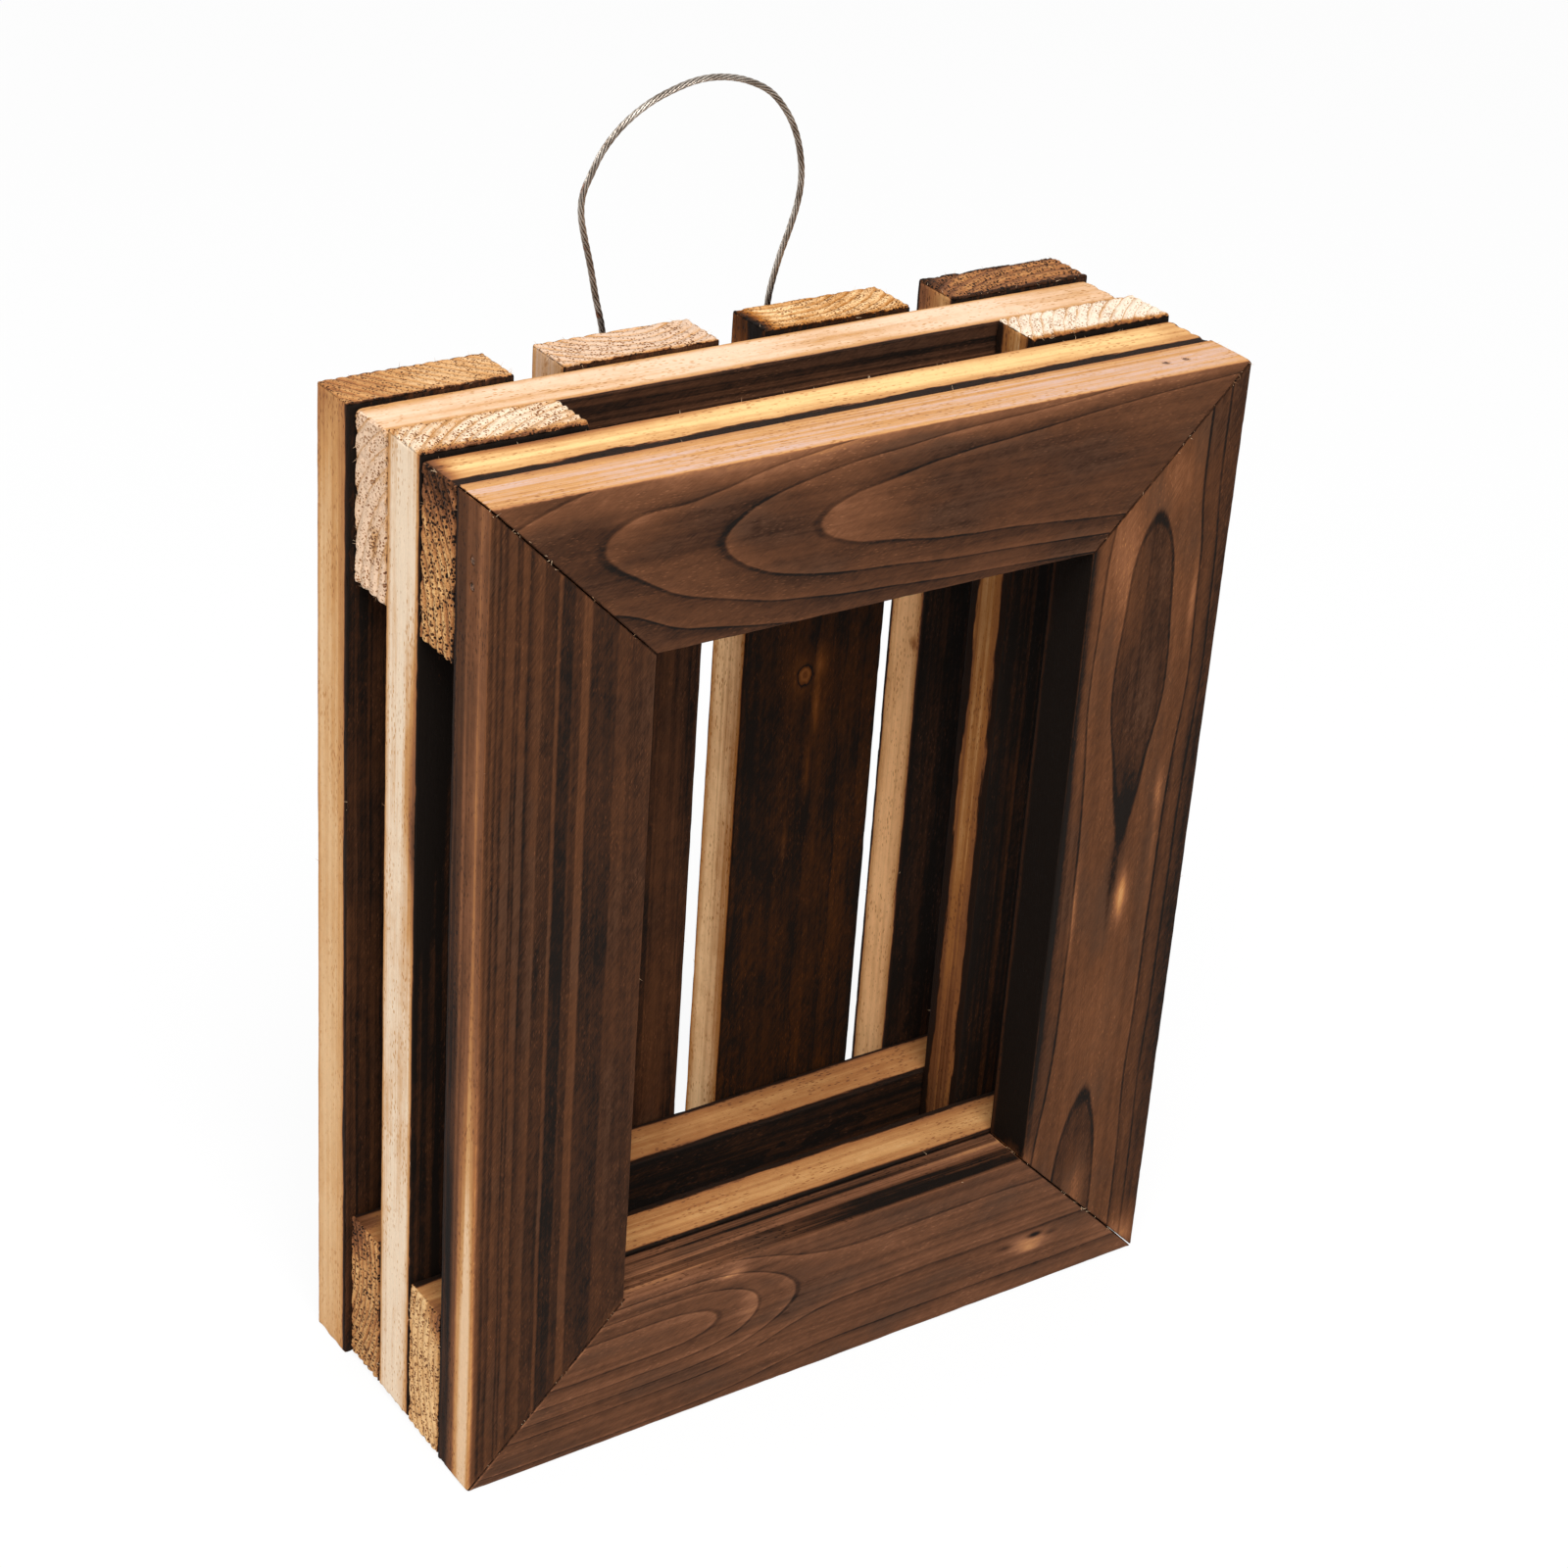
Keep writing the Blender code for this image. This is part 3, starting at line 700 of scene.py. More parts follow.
# %% Figures of the front frame
def ring_figure(radii, rim=-0.08, line=0.17, band=0.08):
    """Light up to each ring, then its dark line and a band that fades away from the heart."""
    return tuple(pair for r in radii for pair in (
        (r - 1.4, 0.0), (r - 0.15, rim), (r, line), (r + 0.2, line), (r + 0.4, band),
        (r + 2.6, 0.0)))


RIGHT_BANDS = [
    (10.8, 0.08), (13.2, 0.10), (13.4, 0.19), (13.65, 0.19), (13.9, -0.07), (15.5, -0.04),
    (17.5, -0.02), (20.1, -0.06), (20.4, 0.19), (20.7, 0.19), (21.0, 0.04), (22.4, 0.01),
    (24.7, 0.05), (25.0, 0.18), (25.3, 0.18), (25.6, 0.03), (28.0, 0.06),
]

LEFT_BANDS = [
    (0.0, -0.07), (1.2, 0.06), (1.9, -0.06), (2.9, 0.08), (3.5, -0.06), (4.7, 0.09), (5.5, -0.07),
    (7.4, -0.04), (7.8, 0.10), (8.4, 0.0), (8.9, 0.09), (9.5, -0.06), (11.1, -0.04), (11.5, 0.10),
    (12.3, 0.03), (15.2, -0.09), (15.8, 0.04), (19.3, 0.06), (19.8, -0.08), (20.4, -0.06),
    (20.9, 0.12), (24.2, 0.14), (24.8, 0.04), (26.9, 0.06), (27.3, -0.08), (29.3, -0.09),
    (29.9, 0.09), (37.3, 0.09), (38.0, -0.01), (41.0, 0.0), (43.0, 0.03),
]
FAR_HEART = 60.0      # mm beyond the left edge, so that its rings run straight
left_figure = tuple((FAR_HEART + place, added) for place, added in LEFT_BANDS)
print("stops in the figures:", len(ring_figure((19.4, 23.95))), len(left_figure))

# %% Facts of the fourteen planks
FRAME, SLAT, RAIL, PALE = ("charred_frame_wood", "charred_slat_wood", "charred_rail_wood",
                           "pale_side_wood")
PLANKS = [
    Plank("back_slat_1", SLAT, (0.66, 0.42, 0.22), (0.90, 0.84), (0.04, 0.01), (0.10, 0.04),
          (0.10, 0.09), creep=(1.5, 0.3), end_creep=0.7, heart=(70, -60), seed=11.3, torn=0.35,
          pores=0.8,
          spots=(((110, -24, 4), (60, 6, 7), 0.20), ((150, -24, 14), (30, 8, 6), 0.22),
                 ((-150, -24, 3), (10, 8, 9), 0.12), ((152, -14, 8), (6, 12, 14), 0.14))),
    Plank("back_slat_2", SLAT, (0.64, 0.45, 0.32), (0.86, 0.82), (0.06, 0.04), (0.14, 0.08),
          (0.08, -0.02), creep=(0.8, 0.4), end_creep=0.4, heart=(5, -35), seed=23.9, torn=0.45,
          pores=0.9,
          spots=(((90, -24.5, 4), (14, 5, 5), 0.14), ((0, -24.5, 6), (12, 5, 5), 0.12),
                 ((-70, -24.5, 5), (14, 5, 5), 0.12))),
    Plank("back_slat_3", SLAT, (0.94, 0.64, 0.34), (0.93, 0.84), (0.09, 0.07), (0.14, 0.08),
          (0.12, 0.14), creep=(0.9, 0.7), end_creep=0.5, heart=(-10, -50), stripes=0.04,
          streaks=0.10, dull=-0.10, knots=((40.4, -2.6, 2.6),), seed=37.1, pores=0.8, torn=0.4,
          spots=(((28, 2.0, 0), (9, 1.4, 3), -0.26), ((8, 0.5, 0), (9, 1.2, 3), -0.18),
                 ((-16, -6, 0), (8, 1.0, 3), -0.12), ((44, 2.5, 0), (5, 2.0, 3), -0.24),
                 ((152, -25.5, 6), (16, 4.0, 14), 1.15))),
    Plank("back_slat_4", SLAT, (0.86, 0.52, 0.25), (0.97, 0.88), (0.0, -0.03), (0.20, 0.10),
          (0.20, 0.40), creep=(1.5, 1.6), end_creep=1.7, heart=(14, 40), spacing=4.4,
          seed=41.7, pores=1.1, torn=0.7,
          spots=(((148, -24.5, 14), (10, 6, 8), 0.5), ((68, -24.5, 5), (3, 5, 2.4), 0.5),
                 ((40, -24.5, 4), (2, 5, 1.6), 0.4))),
    Plank("rear_rail_top", RAIL, (0.74, 0.52, 0.36), (0.885, 0.90), (0.30, 0.30), (0.0, 0.0),
          (-0.02, 0.04), creep=(0.8, 0.2), end_creep=0.2, heart=(-25, 31), spacing=4.6,
          seed=53.2, pores=0.75, torn=1.0, stripes=0.16, edge_stripes=0.05, dull=0.06,
          spots=(((-119, -9, 7), (4, 6, 2.6), 0.30), ((112, 24, 12), (30, 6, 9), 0.09),
                 ((30, 24, 9), (26, 5, 5), 0.10),
                 ((-112, 24, 17), (26, 5, 4), 0.20), ((-60, 24, 6), (50, 5, 2), 0.10),
                 ((0, 9.5, 0), (110, 0.35, 1), -0.40), ((10, 15.5, 0), (90, 0.3, 1), -0.20))),
    Plank("rear_rail_bottom", RAIL, (0.64, 0.38, 0.16), (0.98, 0.92), (0.30, 0.30), (0.26, 0.32),
          (0.18, 0.30), creep=(2.2, 1.8), end_creep=0.5, heart=(10, -60), seed=67.4, pores=1.5,
          spacing=2.6, torn=0.8, spots=(((-119, 22, 16), (6, 9, 7), 0.5),)),
    Plank("side_slat_left", PALE, (0.75, 0.59, 0.43), (0.98, 0.93), (0.0, 0.0), (0.30, 0.20),
          (0.06, 0.06), creep=(0.5, 0.2), end_creep=0.45, heart=(45, 60), seed=71.8, pores=0.7,
          torn=0.7,
          spots=(((54, -24.5, 0.5), (34, 6, 4.2), 0.60), ((38, -24.5, 0.5), (9, 6, 2.6), 0.35),
                 ((150, -24.5, 16), (8, 6, 4), 0.10), ((152, 0, 0), (6, 30, 2.2), 0.6))),
    Plank("side_slat_right", PALE, (0.80, 0.66, 0.52), (0.98, 0.93), (0.23, 0.30), (0.10, 0.06),
          (0.10, -0.03), creep=(3.4, 3.8), end_creep=0.4, heart=(60, 45), seed=83.5, pores=0.5,
          torn=0.5, edge_stripes=0.22, dull=-0.04,
          spots=(((-100, -24.5, 9), (80, 5, 7), 0.26), ((152, 0, 0), (6, 30, 2.2), 0.6))),
    Plank("front_rail_top", RAIL, (0.78, 0.50, 0.22), (0.95, 0.93), (0.40, 0.40), (0.0, 0.04),
          (0.21, 0.26), creep=(3.8, 0.5), end_creep=0.4, heart=(-30, -70), seed=97.6, pores=1.6,
          spacing=3.6, torn=1.0, fuzz=1.0,
          spots=(((-120, 23, 9), (4, 11, 14), 0.62), ((116, 22, 9), (8, 8, 9), 0.16),
                 ((-80, 24, 17), (34, 4, 3), 0.34))),
    Plank("front_rail_bottom", RAIL, (0.72, 0.46, 0.22), (0.96, 0.93), (0.30, 0.30), (0.22, 0.28),
          (0.05, 0.16), creep=(0.9, 2.6), end_creep=0.3, heart=(5, 80), seed=103.1, pores=0.9,
          torn=0.7, spots=(((-120, 22, 2), (4, 7, 5), 0.4),)),
    Plank("frame_top", FRAME, (0.54, 0.36, 0.29), (0.82, 0.88), (0.92, 0.95), (0.15, 0.12),
          (0.5, 0.5), creep=(0.05, 0.5), heart=(2.6, 17.3), lean=0.125,
          swells=((-2.2, 80, 50), (0.9, -24, 22)), sway=(5.0, -95, 25), waver=0.8,
          figure=ring_figure((19.4, 23.95, 28.5, 33.5)), contrast=1.0, stripes=0.05, streaks=0.05,
          edge_stripes=0.22, dull=0.03, mitre=1, wear=0.08, seed=113.9,
          spots=(((-50, 24.5, 0), (130, 7, 3), -0.26), ((80, 24.5, 0), (70, 3.5, 3), -0.14),
                 ((-12, 3, 0), (16, 8, 3), -0.16), ((-79, 14.5, 0), (7, 3.5, 3), -0.16),
                 ((100, 12, 0), (22, 8, 3), -0.06), ((-60, -4, 0), (12, 9, 3), -0.05),
                 ((-115, 24.5, 1), (30, 4, 3), 0.16))),
    Plank("frame_bottom", FRAME, (0.66, 0.42, 0.24), (0.715, 0.86), (0.50, 0.60), (0.76, 0.68),
          (0.5, 0.5), creep=(0.1, 0.9), heart=(6.5, 18.4), swells=((11.6, -75, 56),), waver=1.0,
          figure=ring_figure((9.0, 13.0, 16.8, 20.7, 29.8), rim=-0.08, line=0.16, band=0.05),
          contrast=1.0, stripes=0.10, edge_stripes=0.32, streaks=0.10, dull=0.05, mitre=-1,
          wear=0.04, seed=127.7,
          spots=(((-60, 7, 0), (24, 5, 3), -0.03), ((-27.5, 7, 0), (4, 6, 3), -0.12),
                 ((76.5, -7.4, 0), (9, 3.2, 3), -0.30), ((77.5, -10.2, 0), (4, 1.2, 3), -0.24),
                 ((67.5, -7.0, 0), (3.5, 0.9, 3), 0.26), ((85.0, -6.8, 0), (2.5, 0.8, 3), 0.26),
                 ((78.8, -5.7, 0), (2.3, 0.9, 3), 0.60), ((-33.75, 20.5, 0), (5, 2.2, 3), -0.26),
                 ((108, -14, 0), (10, 6, 5), -0.08), ((34, 24.5, 5), (44, 4, 4.5), 0.34),
                 ((-10, 24.5, 14), (60, 4, 1.6), 0.16), ((70, 24.5, 12), (40, 4, 4), -0.24),
                 ((92, 24.5, 9), (13, 4, 12), -0.30), ((-60, 24.5, 3), (30, 4, 3), -0.12),
                 ((-40, 24.5, 9), (50, 4, 2.0), -0.14))),
    Plank("frame_left", FRAME, (0.68, 0.46, 0.28), (0.85, 0.92), (0.60, 0.68), (0.88, 0.93),
          (0.5, 0.5), creep=(0.1, 1.6), heart=(-24.5 - FAR_HEART, 0.0), figure=left_figure,
          contrast=0.95, waver=1.0, stripes=0.04, streaks=0.06, patchy=0.12, mitre=-1, wear=0.10,
          seed=131.2,
          spots=(((-120, -24.5, 3.4), (90, 1.3, 6.2), -0.82), ((40, -24.5, 3.9), (150, 5, 1.2), -0.18),
                 ((60, -24.5, 10.6), (130, 5, 1.1), -0.17), ((90, -24.5, 7.4), (90, 5, 3.4), -0.03),
                 ((60, -24.5, 16), (170, 5, 4.6), 0.30), ((-110, -24.5, 16), (110, 5, 6.0), 0.42))),
    Plank("frame_right", FRAME, (0.66, 0.44, 0.24), (0.79, 0.88), (1.15, 1.15), (0.45, 0.60),
          (0.5, 0.5), creep=(0.1, 1.0), heart=(-2.1, 14.0),
          swells=((3.2, 72, 33), (1.6, 44, 30), (0.38, -2, 18), (3.4, -135, 45)),
          sway=(-2.2, -130, 60), waver=0.5, figure=tuple(RIGHT_BANDS), contrast=1.0,
          stripes=0.05, streaks=0.06, patchy=0.18, mitre=1, wear=0.06, seed=149.8,
          spots=(((-15, 1.2, 0), (8, 2.3, 3), -0.46), ((19, 10.4, 0), (7, 1.6, 3), -0.24),
                 ((2, 10.9, 0), (20, 0.8, 3), -0.16), ((80, 14.0, 0), (12, 1.3, 3), -0.24),
                 ((100, -12, 0), (26, 8, 4), -0.14), ((120, 4, 0), (10, 6, 4), -0.15),
                 ((93, -13.5, 0), (22, 4, 3), -0.08),
                 ((-17, -16.8, 0), (15, 1.2, 3), -0.22), ((85, 9.5, 0), (30, 3, 3), -0.06),
                 ((13, -1.4, 0), (17, 2.8, 3), 0.16), ((-8, -3.3, 0), (14, 1.9, 3), 0.17),
                 ((-30, 24.5, 0), (110, 6, 3), 0.14),
                 ((60, -20.5, 0), (50, 2.0, 3), -0.12), ((50, 1, 0), (18, 4, 3), -0.08),
                 ((90, 3, 0), (10, 3, 3), -0.08), ((-60, 0, 0), (24, 12, 4), -0.07),
                 ((-121, -3, 0), (13, 5, 4), -0.32), ((-145, 19, 0), (9, 8, 4), -0.34),
                 ((0, -24.5, 0), (110, 2.0, 3), 0.35), ((-103, -24.5, 5), (6, 4, 6), -0.42))),
]
print("planks:", len(PLANKS))


# %% A plank's own frame
def plank_frame(plank):
    """The middle of a plank's box, its sizes along, across and thick, and whether it is upright."""
    low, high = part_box(plank.node)
    size = high - low
    is_upright = size.z > size.x
    along, across = (size.z, size.x) if is_upright else (size.x, size.z)
    return (low + high) / 2, Vector((along, across, size.y)), is_upright


def seed_vector(plank):
    """Where in the noise this plank lies, so that no two planks are alike."""
    return plank.seed, plank.seed * 0.37, plank.seed * 0.71


# %% [markdown]
# ## The charred finish
#
# One finish serves all planks, because it works from where a point lies in its plank. The three
# distances to the wide face, the sawn edge and the end tell which of them the point is on. Each has
# a scorch level, which the growth rings, the fibres and larger patches vary. Growth rings are shells
# round the tree's heart, so their distance from the heart gives the flame-shaped figure on a face
# and the arcs on an end from the same sum. At the end one colour ramp turns scorch into colour, from
# clean wood through honey and brown to black, which is how charring really goes.

# %% Colours of scorched wood
SCORCH_STOPS = [
    (0.20, (0.52, 0.265, 0.098)), (0.38, (0.34, 0.138, 0.046)), (0.52, (0.20, 0.078, 0.033)),
    (0.64, (0.125, 0.046, 0.018)), (0.76, (0.078, 0.029, 0.0115)), (0.88, (0.040, 0.0155, 0.0070)),
    (1.00, (0.009, 0.006, 0.0045)),
]
ASH = (0.072, 0.040, 0.025)    # the greyer brown of a brushed, sooty face
RING_LINE = 0.20      # mm, a ring's thin dark line
RING_BAND = 1.1       # mm, the soft band beside it


# %% Growth rings
def from_heart(b, depth, across, before, waver):
    """Distance from the tree's heart, a little wavy as real rings are."""
    return ((b - across) ** 2.0 + (depth + before) ** 2.0) ** 0.5 + waver


def ring_waver(a, b, depth, seed, amount=2.4):
    return (noise(join(a / 42.0, b / 17.0, depth / 17.0) + seed) - 0.5) * amount


def bump_along(a, height, place, spread):
    """A flat-topped swell along the plank."""
    return fade(((a - place) / spread) ** 4.0, 1.0) * height


def heart_distance(plank, a, b, depth, seed):
    """How far a point is from the heart of its plank, in millimetres."""
    across, before = plank.heart
    before = before - a * plank.lean - sum((bump_along(a, *swell) for swell in plank.swells), 0.0)
    flutter = noise(join(a / 11.0, b / 6.0, depth / 6.0) + seed) - 0.5
    waver = ring_waver(a, b, depth, seed, plank.waver) + flutter * (0.25 * plank.waver)
    return from_heart(b, depth, bump_along(a, *plank.sway) + across, before, waver)


def drawn_rings(plank, away):
    """What the plank's figure adds to the scorch at a distance from the heart."""
    near, far = plank.figure[0][0], plank.figure[-1][0]
    stops = [((place - near) / (far - near), (0.5 + added,) * 3) for place, added in plank.figure]
    drawn = away.node("ShaderNodeValToRGB", {"stops": stops}, {"Fac": (away - near) / (far - near)})
    return drawn.node("ShaderNodeRGBToBW", inputs={"Color": drawn}) - 0.5


def even_rings(plank, away):
    """The same for rings at an even spacing, and a point's share of its ring."""
    phase = away / plank.spacing
    number = phase.math("FLOOR", phase)
    share = phase - number
    own = number.node("ShaderNodeTexWhiteNoise", {"noise_dimensions": "1D"},
                      {"W": number * 7.31 + plank.seed})
    line = fade(least(share, 1.0 - share) * plank.spacing, RING_LINE) * (0.5 + own * 0.6)
    band = fade((1.0 - share) * plank.spacing, RING_BAND)
    return (share - 0.5) * 0.16 + line * 0.13 + band * 0.05 + (own - 0.5) * 0.12, share


# %% Noises of the wood
NOISES = {      # mm along and across the grain, detail and roughness
    "nick": (2.2, 1.1, 1.0, 0.5),          # how unevenly an arris is broken
    "fibres": (14.0, 0.45, 5.0, 0.68),
    "stripes": (260.0, 1.6, 3.0, 0.6),     # narrow, and nearly as long as a plank
    "streaks": (80.0, 4.0, 3.0, 0.5),      # broader and shorter
    "patches": (34.0, 13.0, 3.0, 0.5),
    "specks": (1.5, 0.5, 2.0, 0.6),
    "mottle": (4.0, 2.6, 4.0, 0.6),
    "grains": (3.0, 0.45, 2.0, 0.7),       # the cut fibres of an end
    "reach": (18.0, 2.5, 5.0, 0.62),       # how far the char crept round an arris
    "clusters": (26.0, 7.0, 1.0, 0.5),     # where the pores crowd
}
ARRIS_BLUR = 0.30      # mm, to each side of the line where one side's look gives way to the next
HALF_BLUR = 1.0        # mm, the same between the two halves of a side
print("noises of the wood:", ", ".join(NOISES))


# %% A point in its plank
def wood_point(plank, start):
    """Where a point lies in its plank, in millimetres, what it lies on, and its noises."""
    centre, size, is_upright = plank_frame(plank)
    half_a, half_b, half_t = size / 2 / MM
    seed = seed_vector(plank)
    x, y, z = split((object_place(start) - tuple(centre)) * (1 / MM))
    a, b = (z, x) if is_upright else (x, z)
    depth = y + half_t
    at = SimpleNamespace(a=a, b=b, y=y, depth=depth, seed=seed, back_share=depth / (2 * half_t))

    for name, (along, across, detail, roughness) in NOISES.items():
        place = join(a / along, b / across, y / across) + seed
        setattr(at, name, noise(place, detail, roughness))
    at.scuffs = noise(join((a + b * 1.7) / 8.0, (a - b * 1.7) / 0.5, y / 3.0) + seed, detail=3.0)
    at.nick = at.nick - 0.5
    at.stripes = rise(at.stripes, 0.36, 0.64)
    at.clusters = rise(at.clusters, 0.42, 0.60)

    slant = (half_b - b * plank.mitre) if plank.mitre else 0.0
    pressed = 0.0 if plank.mitre else 0.8 * plank.torn
    at.to_face, at.to_edge, at.to_end = half_t - abs(y), half_b - abs(b), half_a - slant - abs(a)
    past_end = least(at.to_face, at.to_edge) - at.to_end + at.nick * 0.5 + pressed
    at.on_end = rise(past_end, -ARRIS_BLUR, ARRIS_BLUR)
    at.on_edge = rise(at.to_face - at.to_edge + at.nick * 0.5, -ARRIS_BLUR, ARRIS_BLUR)
    at.is_front = rise(depth, half_t + HALF_BLUR, half_t - HALF_BLUR)
    at.is_high = rise(b, -HALF_BLUR, HALF_BLUR)
    at.is_last = rise(a, -HALF_BLUR, HALF_BLUR)

    away = heart_distance(plank, a, b, depth, seed)
    at.rings, at.share = even_rings(plank, away)
    at.arcs = noise(join(away / 0.7, b / 8.0, y / 8.0) + seed, detail=3.0, roughness=0.6)
    at.drawn = drawn_rings(plank, away) if plank.figure else at.rings
    return at


# %% Pores and spots
def add_pores(plank, at):
    """Small cells, wider in the soft part of each ring, and wider still where they crowd."""
    cell = 0.60 + 0.30 * plank.pores
    at.cells = at.a.node("ShaderNodeTexVoronoi", {"feature": "F1"},
                         {"Vector": join(at.a / 2.6, at.b / cell, at.y / cell) + at.seed,
                          "Scale": 1.0})
    in_end = (0.07 + 0.06 * plank.pores + rise(at.share, 0.85, 0.35) * 0.18 + at.clusters * 0.18
              + (0.5 - at.arcs) * 0.6) * (0.60 + 0.40 * plank.pores)
    wide = least(between(at.on_end, 0.12 + at.clusters * 0.14, in_end), 0.38)
    at.pores = rise(at.cells, wide + 0.08, wide - 0.06)


def add_spots(plank, at):
    """What the plank's own light and dark spots add, a little streaked along the grain."""
    total = 0.0
    for (along, across, deep), (reach_a, reach_b, reach_t), amount in plank.spots:
        q = (((at.a - along) / reach_a) ** 2.0 + ((at.b - across) / reach_b) ** 2.0
             + ((at.depth - deep) / reach_t) ** 2.0)
        total = total + fade(q, 1.0) * amount
    at.spots = total * (0.6 + at.streaks * 0.8)


# %% Scorch of the faces
def varied(at, **weights):
    """The sum of a point's noises, each less its mean and times its weight."""
    return sum(((getattr(at, name) - 0.5) * weight for name, weight in weights.items()), 0.0)


def knotted(plank, at, level):
    """The same scorch with the plank's knots: a dark core, a pale rim and darker wood around it."""
    for along, across, radius in plank.knots:
        q = (((at.a - along) / 1.25) ** 2.0 + (at.b - across) ** 2.0) ** 0.5
        q = q / radius + at.nick * 0.4
        core = 0.62 + q.math("SINE", q * 9.0) * 0.07
        level = between(rise(q, 1.05, 0.85), level - fade(abs(q - 1.5), 1.1) * 0.12, core)
        level = level + fade(abs(q - 1.0), 0.10) * 0.30
    return level


def face_scorch(plank, at):
    """Rings and streaks over the level of each wide face, worn lighter along its front arrises."""
    level = between(at.is_front, plank.face[1], plank.face[0])
    level = level + at.drawn * (0.5 + at.patches) * plank.contrast + varied(
        at, stripes=plank.stripes, streaks=plank.streaks, patches=plank.patchy, mottle=0.16,
        fibres=0.18, scuffs=0.24, specks=0.14)
    if plank.mitre < 0:
        rubbed = fade(at.to_end, 0.5) * rise(at.a, 1.0, -1.0) * rise(at.patches, 0.42, 0.56)
        level = level - rubbed * 0.5
    worn = fade(at.to_edge, 0.9) * at.is_front * rise(at.streaks, 0.35, 0.6)
    level = knotted(plank, at, level - worn * (plank.wear * 2.0) + at.spots)
    return level - rise(at.cells, 0.30, 0.15) * at.clusters * 0.10


# %% Scorch of the edges and ends
def charred(distance, creep):
    """1 where char has crept from an arris, with a border that is crisp but not sharp."""
    return rise((distance - creep) / least(creep * 0.5 + 0.02, 0.6), 0.8, -0.8)


def edge_scorch(plank, at):
    """Sawn edges: their levels shade from front to back, and char creeps in from both arrises."""
    level = between(at.is_high, between(at.back_share, *plank.low),
                    between(at.back_share, *plank.high))
    level = level + at.spots + at.rings * 0.12 + varied(
        at, stripes=plank.edge_stripes, streaks=plank.edge_stripes + 0.10, patches=0.28,
        mottle=0.16, fibres=plank.edge_stripes + 0.12)
    creep = between(at.is_front, plank.creep[1], plank.creep[0]) * (0.25 + at.reach * 1.5)
    level = between(fade(at.to_face, creep * 1.2 + 0.8) * 0.90, level, 0.57)
    return between(charred(at.to_face, creep), level, 0.97) + at.pores * 0.17


def end_scorch(plank, at):
    """End grain: a fine dark line in each ring, arcs of pores, and char creeping in."""
    level = between(at.is_last, *plank.ends) - 0.02
    ring_line = fade(least(at.share, 1.0 - at.share) * plank.spacing, 0.35)
    level = (level + at.spots + (at.share ** 3.0 - 0.25) * 0.14
             + ring_line * (0.04 + 0.12 * plank.pores)
             + varied(at, patches=0.34, mottle=0.20, arcs=0.15 + 0.40 * plank.pores,
                      grains=0.10 + 0.28 * plank.pores))
    creep = plank.end_creep * (at.reach * 2.4 - 0.2)
    level = between(fade(at.to_face, creep * 1.5 + 0.4) * 0.6, level, 0.56)
    level = between(charred(at.to_face, creep) * 0.9, level, 0.94)
    return level + at.pores * (0.34 + 0.20 * plank.pores)


# %% The finish of one plank
def scorched_colour(plank, at, scorch):
    """Scorch through the ramp, sooty in patches, with the fibres as a film over it."""
    stops = [(0.0, plank.raw)] + SCORCH_STOPS
    colour = scorch.node("ShaderNodeValToRGB", {"stops": stops}, {"Fac": scorch})
    sooty = rise(at.patches, 0.45, 0.75) * rise(scorch, 0.55, 0.70) * rise(scorch, 0.92, 0.80)
    colour = mix_colour(sooty * 0.35, colour, ASH)
    strength = 1.0 - rise(scorch, 0.15, 0.40) * plank.dull
    colour = colour.node("ShaderNodeHueSaturation", inputs={"Saturation": strength,
                                                            "Color": colour})
    film = 0.73 + at.fibres * 0.30 + at.specks * 0.24
    return mix_colour(1.0, colour, join(film, film, film), "MULTIPLY")


def wood_height(at):
    """How high the surface stands, in metres: fibres all over, and deeper arcs on the ends."""
    groove = (at.share * 2.0 - 1.0) ** 2.0
    grain = (at.fibres * 0.12 + at.specks * 0.06 + at.scuffs * 0.04 - at.drawn * 0.12
             - at.pores * 0.08)
    sawn = at.mottle * 0.5 + at.arcs * 0.9 - groove * 0.5 - at.pores * 0.15
    return (grain + sawn * at.on_end * 0.6) * MM


def wood_finish(plank):
    """Charred softwood, from the plank's facts."""
    material, shader, start = new_material(plank.node + "_finish")
    at = wood_point(plank, start)
    add_pores(plank, at)
    add_spots(plank, at)
    on_side = between(at.on_edge, face_scorch(plank, at), edge_scorch(plank, at))
    scorch = between(at.on_end, on_side, end_scorch(plank, at))
    connect(start.tree, shader, Base_Color=scorched_colour(plank, at, scorch),
            Normal=bump(wood_height(at), 0.9, 1.0), Specular_IOR_Level=0.05,
            Roughness=0.66 + (at.patches - 0.5) * 0.20)
    return material


wood_finishes = {plank.node: wood_finish(plank) for plank in PLANKS}
print("wood finishes:", len(wood_finishes))

# %% [markdown]
# ## Sawn and worn planks
#
# A real plank isn't a box. Its arrises are a little round and chipped, its ends are rough where the
# saw tore the fibres, and its faces have the faint ridges of the grain. All of that follows one rule
# for every plank, so one Geometry Nodes tree makes them all: a cube's fine grid is spread over the
# plank, with more of its points near the arrises, each point is pulled on to a rounded box, and
# noise that is stretched along the grain presses it inwards. Nothing is pushed out, so a plank stays
# within its node's box. The mitred members are the same plank with its ends slanted.

# %% The plank tree
PLANK_GRID = (131, 81, 37)     # points along, across and thick
GRID_GATHER = 0.62             # how strongly the points gather at the arrises
ARRIS_ROUND = 0.8              # mm


